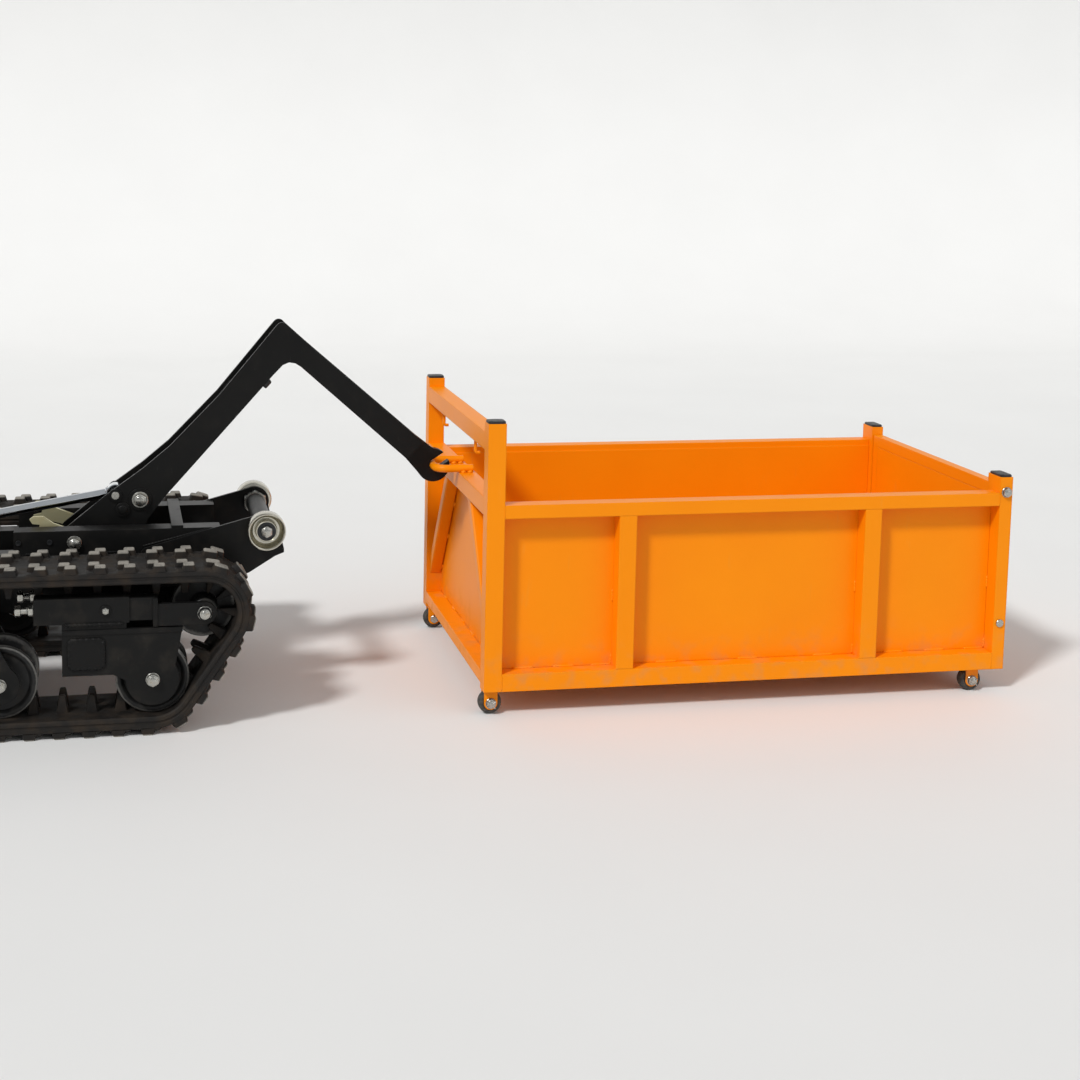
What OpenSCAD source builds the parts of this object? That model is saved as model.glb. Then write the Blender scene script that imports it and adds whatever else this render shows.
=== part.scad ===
// Tracked hook-lift carrier with a roll-off container hung on its hook.
// Lengths are in millimetres. x runs from the handlebars towards the container's tailgate.
// Places along x are worked out from the container's front face and then centred.

/* [Container] */
// Length of the container over its posts
container_l = 1240; // [1100:10:1400]
// Width of the container over its posts
container_w = 760; // [740:2:780]
// Side of the square tube of posts and bottom rails
tube = 40; // [36:1:44]
// Height of the side's top rail
top_rail_h = 30; // [24:1:36]
// Height of the container's side above its rail bottom
side_h = 418; // [380:2:430]
// Height of the front posts
front_post_h = 598; // [560:2:640]
// Height of the rear posts
rear_post_h = 455; // [440:1:480]
// Length of a rear post along the container
rear_post_x = 30; // [26:1:34]
// Width of a rear post across the container
rear_post_y = 60; // [50:1:66]
// Place of the first mid post along the side
mid_post_1 = 320; // [260:5:380]
// Place of the second mid post along the side
mid_post_2 = 900; // [840:5:960]
// Thickness of the sheet panels
sheet = 3; // [2:0.5:4]
// Height of the plastic caps on the posts
cap_h = 6; // [4:1:10]
// Height of a front crossbar
bar_h = 40; // [32:1:44]
// Height of the front bottom rail, which leaves room for the stowed arm
front_rail_h = 28; // [24:1:32]
// Distance from the front post's top to the upper crossbar
bar_drop = 22; // [10:1:40]
// Height of the hook beam's top above the rail bottom
beam_top = 431; // [420:1:440]
// Width of the flat front braces
brace_w = 36; // [28:1:44]
// Thickness of the flat front braces
brace_t = 8; // [6:1:10]
// Diameter of the bail rod
bail_d = 18; // [16:1:20]
// Distance of the bail's bar in front of the container
bail_reach = 52; // [48:1:56]
// Distance of a bail leg from the middle
bail_y = 58; // [54:1:64]
// Radius of the bail's corners
bail_r = 26; // [22:1:30]

/* [Container wheels] */
// Diameter of a container wheel
caster_d = 52; // [46:1:52]
// Width of a container wheel
caster_w = 26; // [22:1:28]
// Place of the front wheels along the container
caster_front = 20; // [18:1:24]
// Distance of the rear wheels from the container's rear
caster_rear = 68; // [50:1:120]
// Thickness of a fork strap
strap_t = 3; // [2:0.5:3]
// Width of a fork strap
strap_w = 30; // [26:1:36]
// Clearance of the rail bottom above the ground
rail_clear = 56; // [56:1:60]
// Radius of a wheel axle
caster_axle_r = 6; // [5:0.5:7]

/* [Tailgate] */
// Thickness of the tailgate frame
gate_t = 24; // [20:1:26]
// Width of the tailgate frame's bars
gate_bar = 28; // [24:1:34]
// Height of the hinge axis above the rail bottom
gate_axis_h = 420; // [410:1:430]
// Height of the lock bolts above the rail bottom
gate_lock_h = 110; // [90:1:140]
// Radius of the hinge bolts
hinge_r = 6; // [5:0.5:7]

/* [Track] */
// Width of the rubber belt
belt_w = 180; // [170:2:190]
// Distance of the belt's middle from the machine's middle
belt_y = 300; // [296:1:306]
// Thickness of the belt
belt_t = 26; // [22:1:28]
// Height of the lugs
lug_h = 14; // [10:1:16]
// Length of a lug along the belt at its foot
lug_base = 34; // [28:1:38]
// Length of a lug along the belt at its top
lug_top = 22; // [16:1:26]
// Height of the guide teeth
guide_h = 36; // [30:1:38]
// Length of a guide tooth at its foot
guide_base = 26; // [22:1:30]
// Length of a guide tooth at its top
guide_top = 14; // [10:1:18]
// Number of belt links
links = 40; // [38:1:42]
// Half width of the sprocket's channel between the guide teeth
channel = 14; // [12:1:16]
// Width of a row of guide teeth
guide_w = 20; // [16:1:22]
// Radius of the road rollers
roller_r = 78; // [74:1:80]
// Radius of the idler and of the sprocket under the belt
end_r = 69; // [66:1:72]
// Height of the idler and sprocket axles
end_z = 258; // [254:1:264]
// Distance of the idler axle in front of the container's front
idler_x = 607; // [600:1:614]
// Distance of the first road roller in front of the container's front
roller_x = 716; // [706:1:724]
// Spacing of the road rollers
roller_step = 315; // [305:1:320]
// Distance of the sprocket axle in front of the container's front
sprocket_x = 1500; // [1490:1:1520]
// Radius of a road roller's axle
roller_axle_r = 10; // [8:0.5:12]
// Thickness of the roller side plates
side_t = 8; // [6:1:10]
// Number of sprocket teeth
teeth = 8; // [7:1:9]

/* [Frame] */
// Half width of the frame over its rails
rail_y = 146; // [140:1:150]
// Side of the square rail tube
rail = 50; // [46:1:54]
// Height of the rail's top
rail_top = 391; // [386:1:394]
// Underside of the lower beams
beam_z = 210; // [204:1:216]
// Height of the cross tubes under the beams
cross_h = 62; // [56:1:66]
// Width of the cross tubes along the machine
cross_w = 70; // [60:1:80]
// Thickness of the rear bracket plates
bracket_t = 8; // [6:1:10]
// Radius of the rear guide rollers
guide_r = 42.5; // [40:0.5:43]
// Height of the guide roller axle
guide_z = 387; // [384:1:388]
// Distance of the guide rollers in front of the container's front
guide_x = 460; // [450:1:470]
// Width of a guide roller
guide_roller_w = 36; // [30:1:40]
// Radius of the guide roller axle
guide_axle_r = 10; // [8:0.5:12]

/* [Hook arm] */
// Distance of the arm pivot in front of the container's front
pivot_x = 850; // [846:1:854]
// Height of the arm pivot
pivot_z = 356; // [354:1:360]
// Radius of the pivot shaft
pivot_r = 15; // [14:0.5:16]
// Half of the clear space between the arm cheeks
cheek_y = 36; // [34:1:38]
// Thickness of an arm cheek
cheek_t = 8; // [6:1:10]
// Depth by which the webs lie inside the cheek edges
web_set = 14; // [12:1:16]
// Thickness of the webs
web_t = 6; // [5:1:8]
// Thickness of the hook plate
hook_t = 25; // [22:1:28]
// Outer radius of the hook
hook_r = 39; // [36:1:40]
// Radius of the hook's throat
throat_r = 13; // [12:0.5:14]

/* [Lift cylinder] */
// Distance of the cylinder's base pin in front of the container's front
base_x = 1380; // [1370:1:1390]
// Distance of the rod pin in front of the container's front
rod_pin_x = 790; // [786:1:794]
// Height of the rod pin
rod_pin_z = 448; // [446:1:450]
// Slope of the cylinder at rest
cylinder_slope = 9.9; // [9.5:0.1:10.3]
// Radius of the barrel
barrel_r = 28; // [25:0.5:29]
// Radius of the gland
gland_r = 30; // [28:0.5:31]
// Radius of the chromed rod
rod_r = 11; // [10:0.5:12]
// Length of rod in sight at rest, from the gland to the rod pin
rod_shown = 302; // [296:1:308]
// Radius of the rod eye
eye_r = 19; // [18:0.5:20]

/* [Power unit] */
// Length of the engine deck
deck_l = 430; // [400:10:480]
// Distance of the deck's inner end in front of the container's front
deck_x = 1570; // [1560:1:1590]
// Thickness of the deck plate
deck_t = 6; // [5:1:8]
// Half width of the engine deck
deck_y = 200; // [190:1:206]
// Length of the hydraulic tank
tank_l = 105; // [90:1:115]
// Height of the hydraulic tank
tank_h = 230; // [200:5:260]
// Length of the engine's crankcase
crank_l = 190; // [180:2:200]
// Width of the engine's crankcase
crank_w = 200; // [190:2:210]
// Height of the engine's crankcase
crank_h = 150; // [140:2:160]
// Number of cooling fins on the engine's cylinder
fins = 9; // [7:1:10]
// Radius of the handlebar tube
bar_r = 14; // [12:0.5:16]
// Height of the hand grips
grip_z = 960; // [900:10:1000]
// Length of the hand grips
grip_l = 120; // [100:5:120]

/* [Fits] */
// Radial running clearance of shafts in their bores
run = 0.05; // [0.03:0.01:0.08]
// Side clearance of turning pieces
side_gap = 0.5; // [0.3:0.1:0.6]
// Gap left for a weld between two tubes
weld = 0.2; // [0.1:0.1:0.3]

/* [Hidden] */
$fn = 48;
orange = "#f08c0a";
black = "#1e1e1d";
rubber = "#2b2724";
zinc = "#b9b6aa";
chrome = "#d5dade";
cast = "#4a4b4c";

// Reach of the handlebars behind the deck, wall of all tubes and play of bolts in their holes
handle_reach = 250;
wall = 3;
bolt_play = 0.2;
rest_gap = 0.3;
grip_cap = 4;
x_mid = (container_l - (deck_x + deck_l + handle_reach + grip_cap)) / 2;

// Heights and half widths of the container
zb = rail_clear;
half_w = container_w / 2;
inner_y = half_w - tube;
floor_z = zb + tube;
gate_y = half_w - rear_post_y;
gate_x = container_l - rear_post_x / 2;
gate_z = zb + gate_axis_h;
bail_z = zb + beam_top + bail_d / 2;
caster_z = caster_d / 2;
caster_gap = 1;
caster_y = half_w - 17 - strap_t - caster_gap - caster_w / 2;
caster_places = [caster_front, container_l - caster_rear];
runner_y = rail_y + bracket_t + 4 + guide_roller_w / 2;

// Heights of the running gear
roller_z = lug_h + belt_t + roller_r;
wheels = [[-sprocket_x, end_z, end_r], [-roller_x - 2 * roller_step, roller_z, roller_r],
    [-roller_x, roller_z, roller_r], [-idler_x, end_z, end_r]];
rollers = [for (i = [0:2]) -roller_x - i * roller_step];

// Lift of the arm: the container is set down on the guide rollers
hook_dx = pivot_x - bail_reach;
hook_dz = bail_z - pivot_z;
hook_len = norm([hook_dx, hook_dz]);
stow_dz = hook_dz + guide_z + guide_r + rest_gap - zb;
lift_angle = 180 - asin(stow_dz / hook_len) - atan2(hook_dz, hook_dx);
base_z = rod_pin_z - tan(cylinder_slope) * (base_x - rod_pin_x);
cylinder_l = (base_x - rod_pin_x) / cos(cylinder_slope);
barrel_l = cylinder_l - rod_shown;
pin_dx = pivot_x - rod_pin_x;
pin_dz = rod_pin_z - pivot_z;
pin_len = norm([pin_dx, pin_dz]);
pin_stow = atan2(pin_dz, pin_dx) + lift_angle;
stow_x = base_x - pivot_x + pin_len * cos(pin_stow);
stow_z = pivot_z + pin_len * sin(pin_stow) - base_z;
barrel_ratio = (atan2(stow_z, stow_x) - cylinder_slope) / lift_angle;
rod_ratio = (norm([stow_x, stow_z]) - cylinder_l) / (lift_angle * PI / 180);
echo(x_mid = x_mid, bail_z = bail_z, lift = lift_angle, base_z = base_z, barrel_ratio = barrel_ratio,
    rod_ratio_mm = rod_ratio, gate_x = gate_x, gate_z = gate_z, caster_y = caster_y, runner_y = runner_y,
    roller_z = roller_z, pitch = pitch, lever_x = cross_bar[0], lever_z = lever_z);

// Puts a piece drawn from the container's front face into the centred frame
module placed() translate([-x_mid, 0, 0]) children();
// Draws a piece on both sides of the machine
module both() {
    children();
    mirror([0, 1, 0]) children();
}
// Round bar along y between two places
module rod_y(r, from, to) translate([0, from, 0]) rotate([-90, 0, 0]) cylinder(r = r, h = to - from);
// Six-sided bar along y, r is half the width over its corners
module hex_y(r, from, to) translate([0, from, 0]) rotate([-90, 0, 0]) cylinder(r = r, h = to - from, $fn = 6);
// Upright plate of thickness t whose outline is drawn in x and z
module plate_y(from, t) translate([0, from + t, 0]) rotate([90, 0, 0]) linear_extrude(t) children();
// Tube with a rectangular section, open at both ends of the named axis
module box_tube(size, axis) {
    inner = [for (i = [0:2]) i == axis ? size[i] + 2 : size[i] - 2 * wall];
    shift = [for (i = [0:2]) i == axis ? -1 : wall];
    difference() {
        cube(size);
        translate(shift) cube(inner);
    }
}

module container_posts() color(orange) placed() both() {
    translate([0, inner_y, zb]) box_tube([tube, tube, front_post_h], 2);
    for (x = [mid_post_1, mid_post_2])
        translate([x - tube / 2, inner_y, floor_z + weld])
            box_tube([tube, tube, side_h - top_rail_h - tube - 2 * weld], 2);
    difference() {
        translate([container_l - rear_post_x, gate_y, zb])
            box_tube([rear_post_x, rear_post_y, rear_post_h], 2);
        for (z = [gate_z, zb + gate_lock_h])
            translate([gate_x, 0, z]) rod_y(hinge_r + bolt_play, gate_y - 1, half_w + 1);
    }
}

module container_rails() color(orange) placed() {
    rail_l = container_l - tube - rear_post_x - 2 * weld;
    both() {
        translate([tube + weld, inner_y, zb]) box_tube([rail_l, tube, tube], 0);
        translate([tube + weld, inner_y, zb + side_h - top_rail_h]) box_tube([rail_l, tube, top_rail_h], 0);
        translate([tube + weld, runner_y - tube / 2, zb]) box_tube([rail_l, tube, tube], 0);
    }
    front_y = inner_y - weld;
    translate([0, -front_y, zb + tube - front_rail_h]) box_tube([tube, 2 * front_y, front_rail_h], 1);
    for (z = [beam_top, front_post_h - bar_drop])
        translate([0, -front_y, zb + z - bar_h]) box_tube([tube, 2 * front_y, bar_h], 1);
    rear_y = gate_y - weld;
    translate([container_l - rear_post_x, -rear_y, zb]) box_tube([rear_post_x, 2 * rear_y, tube], 1);
}

module container_floor() color(orange) placed()
    translate([tube + sheet + weld, sheet + weld - inner_y, floor_z])
        cube([container_l - tube - sheet - rear_post_x - 2 * weld, 2 * (inner_y - sheet - weld), sheet]);

module container_panels() color(orange) placed() {
    side_l = container_l - tube - rear_post_x - sheet - 2 * weld;
    both() translate([tube + sheet + weld, inner_y - sheet, floor_z])
        cube([side_l, sheet, side_h - tube - top_rail_h / 2]);
    front_y = inner_y - sheet;
    translate([tube + weld, -front_y, floor_z])
        cube([sheet - weld, 2 * front_y, beam_top - tube - bar_h / 2]);
}

module front_braces() color(orange) placed() both() {
    low = floor_z + weld;
    high = zb + beam_top - bar_h - weld;
    foot = inner_y - 4;
    run_w = brace_w * 1.3;
    translate([tube - brace_t, 0, 0]) rotate([90, 0, 90]) linear_extrude(brace_t)
        polygon([[foot - run_w, low], [foot, low], [4 + run_w, high], [4, high]]);
}

module hook_bail() color(orange) placed() translate([0, 0, bail_z]) {
    leg_end = tube - 6;
    bar = bail_y - bail_r;
    translate([-bail_reach, 0, 0]) rod_y(bail_d / 2, -bar, bar);
    both() {
        translate([bail_r - bail_reach, bail_y, 0]) rotate([0, 90, 0])
            cylinder(r = bail_d / 2, h = leg_end + bail_reach - bail_r);
        translate([bail_r - bail_reach, bar, 0]) rotate([0, 0, 90]) rotate_extrude(angle = 90)
            translate([bail_r, 0]) circle(bail_d / 2);
    }
}

module post_caps() color(black) placed() both() {
    translate([0, inner_y, zb + front_post_h]) cube([tube, tube, cap_h]);
    translate([container_l - rear_post_x, gate_y, zb + rear_post_h]) cube([rear_post_x, rear_post_y, cap_h]);
}

module wheel_forks() color(orange) placed() both() for (x = caster_places) translate([x, 0, 0]) {
    reach = caster_w / 2 + caster_gap;
    difference() {
        union() {
            for (y = [caster_y - reach - strap_t, caster_y + reach]) {
                translate([-strap_w / 2, y, caster_z]) cube([strap_w, strap_t, zb - caster_z]);
                translate([0, 0, caster_z]) rod_y(strap_w / 2, y, y + strap_t);
            }
            translate([-strap_w / 2, caster_y - reach - strap_t, zb - strap_t])
                cube([strap_w, 2 * (reach + strap_t), strap_t]);
        }
        translate([0, 0, caster_z])
            rod_y(caster_axle_r + bolt_play, caster_y - reach - strap_t - 1, caster_y + reach + strap_t + 1);
    }
}

module container_bolts() color(zinc) placed() both() {
    reach = caster_w / 2 + caster_gap + strap_t;
    for (x = caster_places) translate([x, 0, caster_z]) {
        rod_y(caster_axle_r, caster_y - reach - 6, caster_y + reach + 9);
        rod_y(caster_axle_r * 2, caster_y + reach, caster_y + reach + 2.5);
        hex_y(caster_axle_r * 1.8, caster_y + reach + 2, caster_y + reach + 8);
        hex_y(caster_axle_r * 1.8, caster_y - reach - 6, caster_y - reach);
    }
    pin_in = 20;
    translate([gate_x, 0, gate_z]) {
        rod_y(hinge_r, gate_y - pin_in, half_w + 2);
        rod_y(hinge_r * 2, half_w, half_w + 2.5);
        hex_y(hinge_r * 1.8, half_w + 2, half_w + 9);
    }
    translate([gate_x, 0, zb + gate_lock_h]) {
        rod_y(hinge_r, gate_y - 1, half_w + 2);
        rod_y(hinge_r * 1.5, half_w, half_w + 4);
    }
}

module tailgate_frame() color(orange) placed() {
    low = floor_z + 6;
    high = gate_z + gate_bar / 2;
    y = gate_y - 2;
    x = gate_x - gate_t / 2;
    for (z = [low, high - gate_bar])
        difference() {
            translate([x, -y, z]) cube([gate_t, 2 * y, gate_bar]);
            both() translate([gate_x, 0, gate_z]) rod_y(hinge_r + run, y - 30, y + 1);
        }
    both() translate([x, y - gate_bar, low + gate_bar + weld])
        cube([gate_t, gate_bar, high - low - 2 * (gate_bar + weld)]);
}

module tailgate_panel() color(orange) placed() {
    low = floor_z + 6 + gate_bar + weld;
    high = gate_z - gate_bar / 2 - weld;
    y = gate_y - 2 - gate_bar - weld;
    translate([gate_x - gate_t / 2, -y, low]) cube([sheet, 2 * y, high - low]);
}

module caster(place, side) color("#55534f") placed()
    translate([caster_places[place], side * caster_y, caster_z]) rotate([90, 0, 0]) difference() {
        rotate_extrude() polygon([[0, -caster_w / 2], [caster_d / 2 - 4, -caster_w / 2],
            [caster_d / 2, 4 - caster_w / 2], [caster_d / 2, caster_w / 2 - 4],
            [caster_d / 2 - 4, caster_w / 2], [0, caster_w / 2]]);
        cylinder(r = caster_axle_r + run, h = caster_w + 2, center = true);
    }
module caster_front_right() caster(0, -1);
module caster_front_left() caster(0, 1);
module caster_rear_right() caster(1, -1);
module caster_rear_left() caster(1, 1);

// Belt loop: arcs round the wheels joined by their outer tangents, measured along the belt's middle
wheel_gap = 0.8;
function nth(i) = wheels[(i + 4) % 4];
function span(i) = [nth(i + 1)[0] - nth(i)[0], nth(i + 1)[1] - nth(i)[1]];
function normal(i) = atan2(span(i)[1], span(i)[0]) - acos((nth(i)[2] - nth(i + 1)[2]) / norm(span(i)));
function turn(i) = (normal(i) - normal((i + 3) % 4) + 720) % 360;
function arc_len(i) = (nth(i)[2] + belt_t / 2) * turn(i) * PI / 180;
function line_len(i) = sqrt(pow(norm(span(i)), 2) - pow(nth(i)[2] - nth(i + 1)[2], 2));
stretches = [for (i = [0:3]) each [arc_len(i), line_len(i)]];
function sum_to(list, k) = k < 0 ? 0 : list[k] + sum_to(list, k - 1);
track_len = sum_to(stretches, 7);
pitch = track_len / links;
// Point at a distance along the loop and at a height above the belt's inner face
function belt_point(s, up, k = 0) =
    s > stretches[k] && k < 7 ? belt_point(s - stretches[k], up, k + 1) :
    let (i = floor(k / 2), w = nth(i), on_arc = k % 2 == 0,
        a = on_arc ? normal((i + 3) % 4) + turn(i) * s / stretches[k] : normal(i),
        along = on_arc ? 0 : s)
    [w[0] + (w[2] + up) * cos(a) - along * sin(a), w[1] + (w[2] + up) * sin(a) + along * cos(a)];
function wrapped(s) = (s + track_len) % track_len;
// Outline of the loop from one link's marks, each a distance along the link and a height
function loop_line(marks) =
    [for (i = [0:links - 1]) for (m = marks) belt_point(wrapped(i * pitch + m[0]), m[1])];
quarters = [0, pitch / 4, pitch / 2, 3 * pitch / 4];
lug_marks = [[-lug_base / 2, belt_t], [-lug_top / 2, belt_t + lug_h], [lug_top / 2, belt_t + lug_h],
    [lug_base / 2, belt_t], [pitch / 2, belt_t]];
guide_marks = [[-guide_base / 2, 0], [-guide_top / 2, -guide_h], [guide_top / 2, -guide_h],
    [guide_base / 2, 0], [pitch / 2, 0]];
outer_plain = loop_line([for (q = quarters) [q, belt_t]]);
inner_plain = loop_line([for (q = quarters) [q, 0]]);
outer_lugs = loop_line(lug_marks);
inner_guides = loop_line(guide_marks);

// Slice of the belt between two places across it
module belt_slice(from, to, outer, inner) plate_y(from, to - from) difference() {
    polygon(outer);
    polygon(inner);
}
module track(side) color(rubber) placed() translate([0, side * belt_y, 0]) {
    edge = channel + guide_w;
    belt_slice(-channel, channel, outer_plain, inner_plain);
    for (s = [-1, 1]) {
        near = s * channel;
        mid = s * edge;
        far = s * belt_w / 2;
        belt_slice(min(near, mid), max(near, mid), outer_plain, inner_guides);
        belt_slice(min(mid, far), max(mid, far), outer_lugs, inner_plain);
    }
}
module right_track() track(-1);
module left_track() track(1);

// Distance of the roller side plates from the belt's middle
plate_in = 68;
hub_half = plate_in - side_gap;
disc_in = channel + guide_w + 2;
disc_out = disc_in + 20;
module road_roller(side, i) color(black) placed() translate([rollers[i], side * belt_y, roller_z])
    rotate([90, 0, 0]) rotate_extrude() {
        r = roller_r - wheel_gap;
        bore = roller_axle_r + run;
        polygon([[bore, -hub_half], [24, -hub_half], [24, 8 - disc_out], [r - 14, 8 - disc_out],
            [r - 10, -disc_out], [r, -disc_out], [r, -disc_in], [24, -disc_in], [24, disc_in], [r, disc_in],
            [r, disc_out], [r - 10, disc_out], [r - 14, disc_out - 8], [24, disc_out - 8], [24, hub_half],
            [bore, hub_half]]);
    }
module road_roller_right_1() road_roller(-1, 0);
module road_roller_right_2() road_roller(-1, 1);
module road_roller_right_3() road_roller(-1, 2);
module road_roller_left_1() road_roller(1, 0);
module road_roller_left_2() road_roller(1, 1);
module road_roller_left_3() road_roller(1, 2);

// Tensioner: two square tubes hold the sliders of the idler's yoke
tension_w = 40;
tension_h = 55;
tension_v = 58;
tension_z = end_z - 14;
tension_in = 48;
tension_l = 196;
plate_top = end_z - 27;
fork_in = 66;
fork_t = 12;
fork_h = 48;
idler_axle_r = 10;
idler_hub_r = 28;
idler_play = 1;
module idler(side) color(black) placed() translate([-idler_x, side * belt_y, end_z]) rotate([90, 0, 0])
    rotate_extrude() {
        r = end_r - wheel_gap;
        bore = idler_axle_r + run;
        half = fork_in - side_gap;
        rim = channel - idler_play;
        polygon([[bore, -half], [idler_hub_r, -half], [idler_hub_r, -rim], [r, -rim], [r, rim],
            [idler_hub_r, rim], [idler_hub_r, half], [bore, half]]);
    }
module idler_right() idler(-1);
module idler_left() idler(1);

module idler_yoke(side) color(black) placed() translate([0, side * belt_y, 0]) {
    back = -roller_x + 4;
    slide_gap = 0.3;
    slider_w = tension_w - 2 * wall - 2 * slide_gap;
    slider_h = tension_h - 2 * wall - 2 * slide_gap;
    translate([back, -fork_in - fork_t, end_z - fork_h / 2]) cube([fork_t, 2 * (fork_in + fork_t), fork_h]);
    for (s = [-1, 1]) {
        translate([back - tension_in - 30, s * tension_v - slider_w / 2, tension_z + wall + slide_gap])
            cube([tension_in + 31, slider_w, slider_h]);
        plate_y(s > 0 ? fork_in : -fork_in - fork_t, fork_t) {
            translate([back, end_z - fork_h / 2]) square([-idler_x - back, fork_h]);
            translate([-idler_x, end_z]) circle(fork_h / 2);
        }
    }
    translate([-idler_x, 0, end_z]) {
        rod_y(idler_axle_r, -fork_in - fork_t - 4, fork_in + fork_t + 4);
        for (s = [-1, 1]) hex_y(15, s > 0 ? fork_in + fork_t - 1 : -fork_in - fork_t - 9,
            s > 0 ? fork_in + fork_t + 9 : 1 - fork_in - fork_t);
    }
}
module idler_yoke_right() idler_yoke(-1);
module idler_yoke_left() idler_yoke(1);

module tensioner_tubes() color(black) placed() both() translate([0, belt_y, 0]) for (s = [-1, 1]) {
    start = -roller_x - tension_in - tension_l;
    pad_y = s > 0 ? plate_in : -plate_in - side_t;
    translate([start, s * tension_v - tension_w / 2, tension_z]) difference() {
        cube([tension_l, tension_w, tension_h]);
        translate([5, wall, wall]) cube([tension_l, tension_w - 2 * wall, tension_h - 2 * wall]);
        translate([-1, tension_w / 2, tension_h / 2]) rotate([0, 90, 0]) cylinder(r = 8 + bolt_play, h = 8);
    }
    translate([start + 57, pad_y, plate_top]) cube([tension_l - 63, side_t, tension_z - plate_top]);
}

cross_x = [-roller_x - 137, -roller_x - 1.5 * roller_step];
module cross_tubes() color(black) placed() for (x = cross_x) {
    y = belt_y + plate_in + side_t;
    translate([x - cross_w / 2, -y, beam_z - cross_h]) box_tube([cross_w, 2 * y, cross_h], 1);
}

// Window for a cross tube in a side plate, drawn in x and z
module cross_window(x) translate([x - cross_w / 2 - weld, beam_z - cross_h - weld])
    square([cross_w + 2 * weld, cross_h + 2 * weld]);
module front_plate() difference() {
    lobe = 56;
    low = roller_z + 14;
    union() {
        translate([-roller_x, 0]) polygon([[-187, plate_top], [63, plate_top], [lobe - 14, roller_z],
            [-lobe, roller_z], [-lobe - 26, low], [-187, low]]);
        translate([-roller_x, roller_z]) circle(lobe);
    }
    translate([-roller_x, roller_z]) circle(roller_axle_r + bolt_play);
    cross_window(cross_x[0]);
}
module rear_plate() difference() {
    lobe = 42;
    a = rollers[1];
    b = rollers[2];
    union() {
        polygon([[a - 14, beam_z + 12], [a + lobe - 4, roller_z + 10], [a, roller_z - 20],
            [a - 70, roller_z + 24], [b + 70, roller_z + 24], [b, roller_z - 20],
            [b - lobe + 4, roller_z + 10], [b + 14, beam_z + 12]]);
        for (x = [a, b]) translate([x, roller_z]) circle(lobe);
    }
    for (x = [a, b]) translate([x, roller_z]) circle(roller_axle_r + bolt_play);
    cross_window(cross_x[1]);
}
module side_plates() color(black) placed() both() translate([0, belt_y, 0])
    for (from = [plate_in, -plate_in - side_t]) plate_y(from, side_t) {
        front_plate();
        rear_plate();
    }

// Frame: lower beams, rails on top of them and the bars between
beam_in = rail_y - rail;
beam_top_z = rail_top - rail;
frame_end = -deck_x - deck_l + 20;
rail_x = -pivot_x - 160;
rail_end = -guide_x - 100;
foot_x = -roller_x - 19;
foot_end = -roller_x + 116;
lock_x = -pivot_x - 30;
lock_z = rail_top - 27;
lock_r = 8;
shaft_r = 17.5;
module main_frame() color(black) placed() {
    both() {
        difference() {
            translate([frame_end, beam_in, beam_z])
                box_tube([foot_end - frame_end, rail, beam_top_z - beam_z - weld], 0);
            translate([-sprocket_x, 0, end_z]) rod_y(shaft_r + 6, beam_in - 1, rail_y + 1);
        }
        difference() {
            translate([rail_x, beam_in, beam_top_z]) box_tube([rail_end - rail_x, rail, rail], 0);
            translate([-pivot_x, 0, pivot_z]) rod_y(pivot_r + bolt_play, beam_in - 1, rail_y - wall);
            translate([lock_x, 0, lock_z]) rod_y(lock_r + bolt_play, beam_in - 1, rail_y + 1);
        }
    }
    between = beam_in - weld;
    for (x = [foot_end - 80, -base_x - 40, frame_end + 30])
        translate([x, -between, beam_z + 20]) box_tube([80, 2 * between, 60], 1);
    translate([rail_end - 108, -rail_y, rail_top + weld]) cube([26, 2 * rail_y, 6]);
}

module bracket_shape() {
    lobe = guide_r - 8;
    difference() {
        union() {
            translate([-guide_x, guide_z]) circle(lobe);
            polygon([[foot_x, beam_z + 40], [foot_x, beam_top_z], [foot_x + 7, beam_top_z + 9],
                [-guide_x - lobe * 0.45, guide_z + lobe * 0.9],
                [-guide_x + lobe * 0.95, guide_z - lobe * 0.3],
                [-guide_x + 42, guide_z - 48], [-guide_x + 42, guide_z - 56], [-guide_x + 22, guide_z - 64],
                [-guide_x - 36, guide_z - 100], [foot_end, beam_z + 40]]);
        }
        translate([-guide_x, guide_z]) circle(guide_axle_r + bolt_play);
    }
}
module roller_brackets() color(black) placed() {
    both() plate_y(rail_y, bracket_t) bracket_shape();
    translate([-guide_x, 0, guide_z]) difference() {
        rod_y(22, weld - rail_y, rail_y - weld);
        rod_y(22 - 2 * wall, -rail_y - 1, rail_y + 1);
    }
}
module guide_roller(side) color(zinc) placed()
    translate([-guide_x, side * (runner_y - guide_roller_w / 2), guide_z])
    rotate([-90 * side, 0, 0]) rotate_extrude() {
        w = guide_roller_w;
        bore = guide_axle_r + run;
        polygon([[bore, 0], [guide_r - 4, 0], [guide_r, 4], [guide_r, w], [guide_r - 4, w],
            [guide_r - 12, w - 18], [20, w - 22], [20, w - 8], [bore, w - 8]]);
    }
module guide_roller_right() guide_roller(-1);
module guide_roller_left() guide_roller(1);

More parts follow.
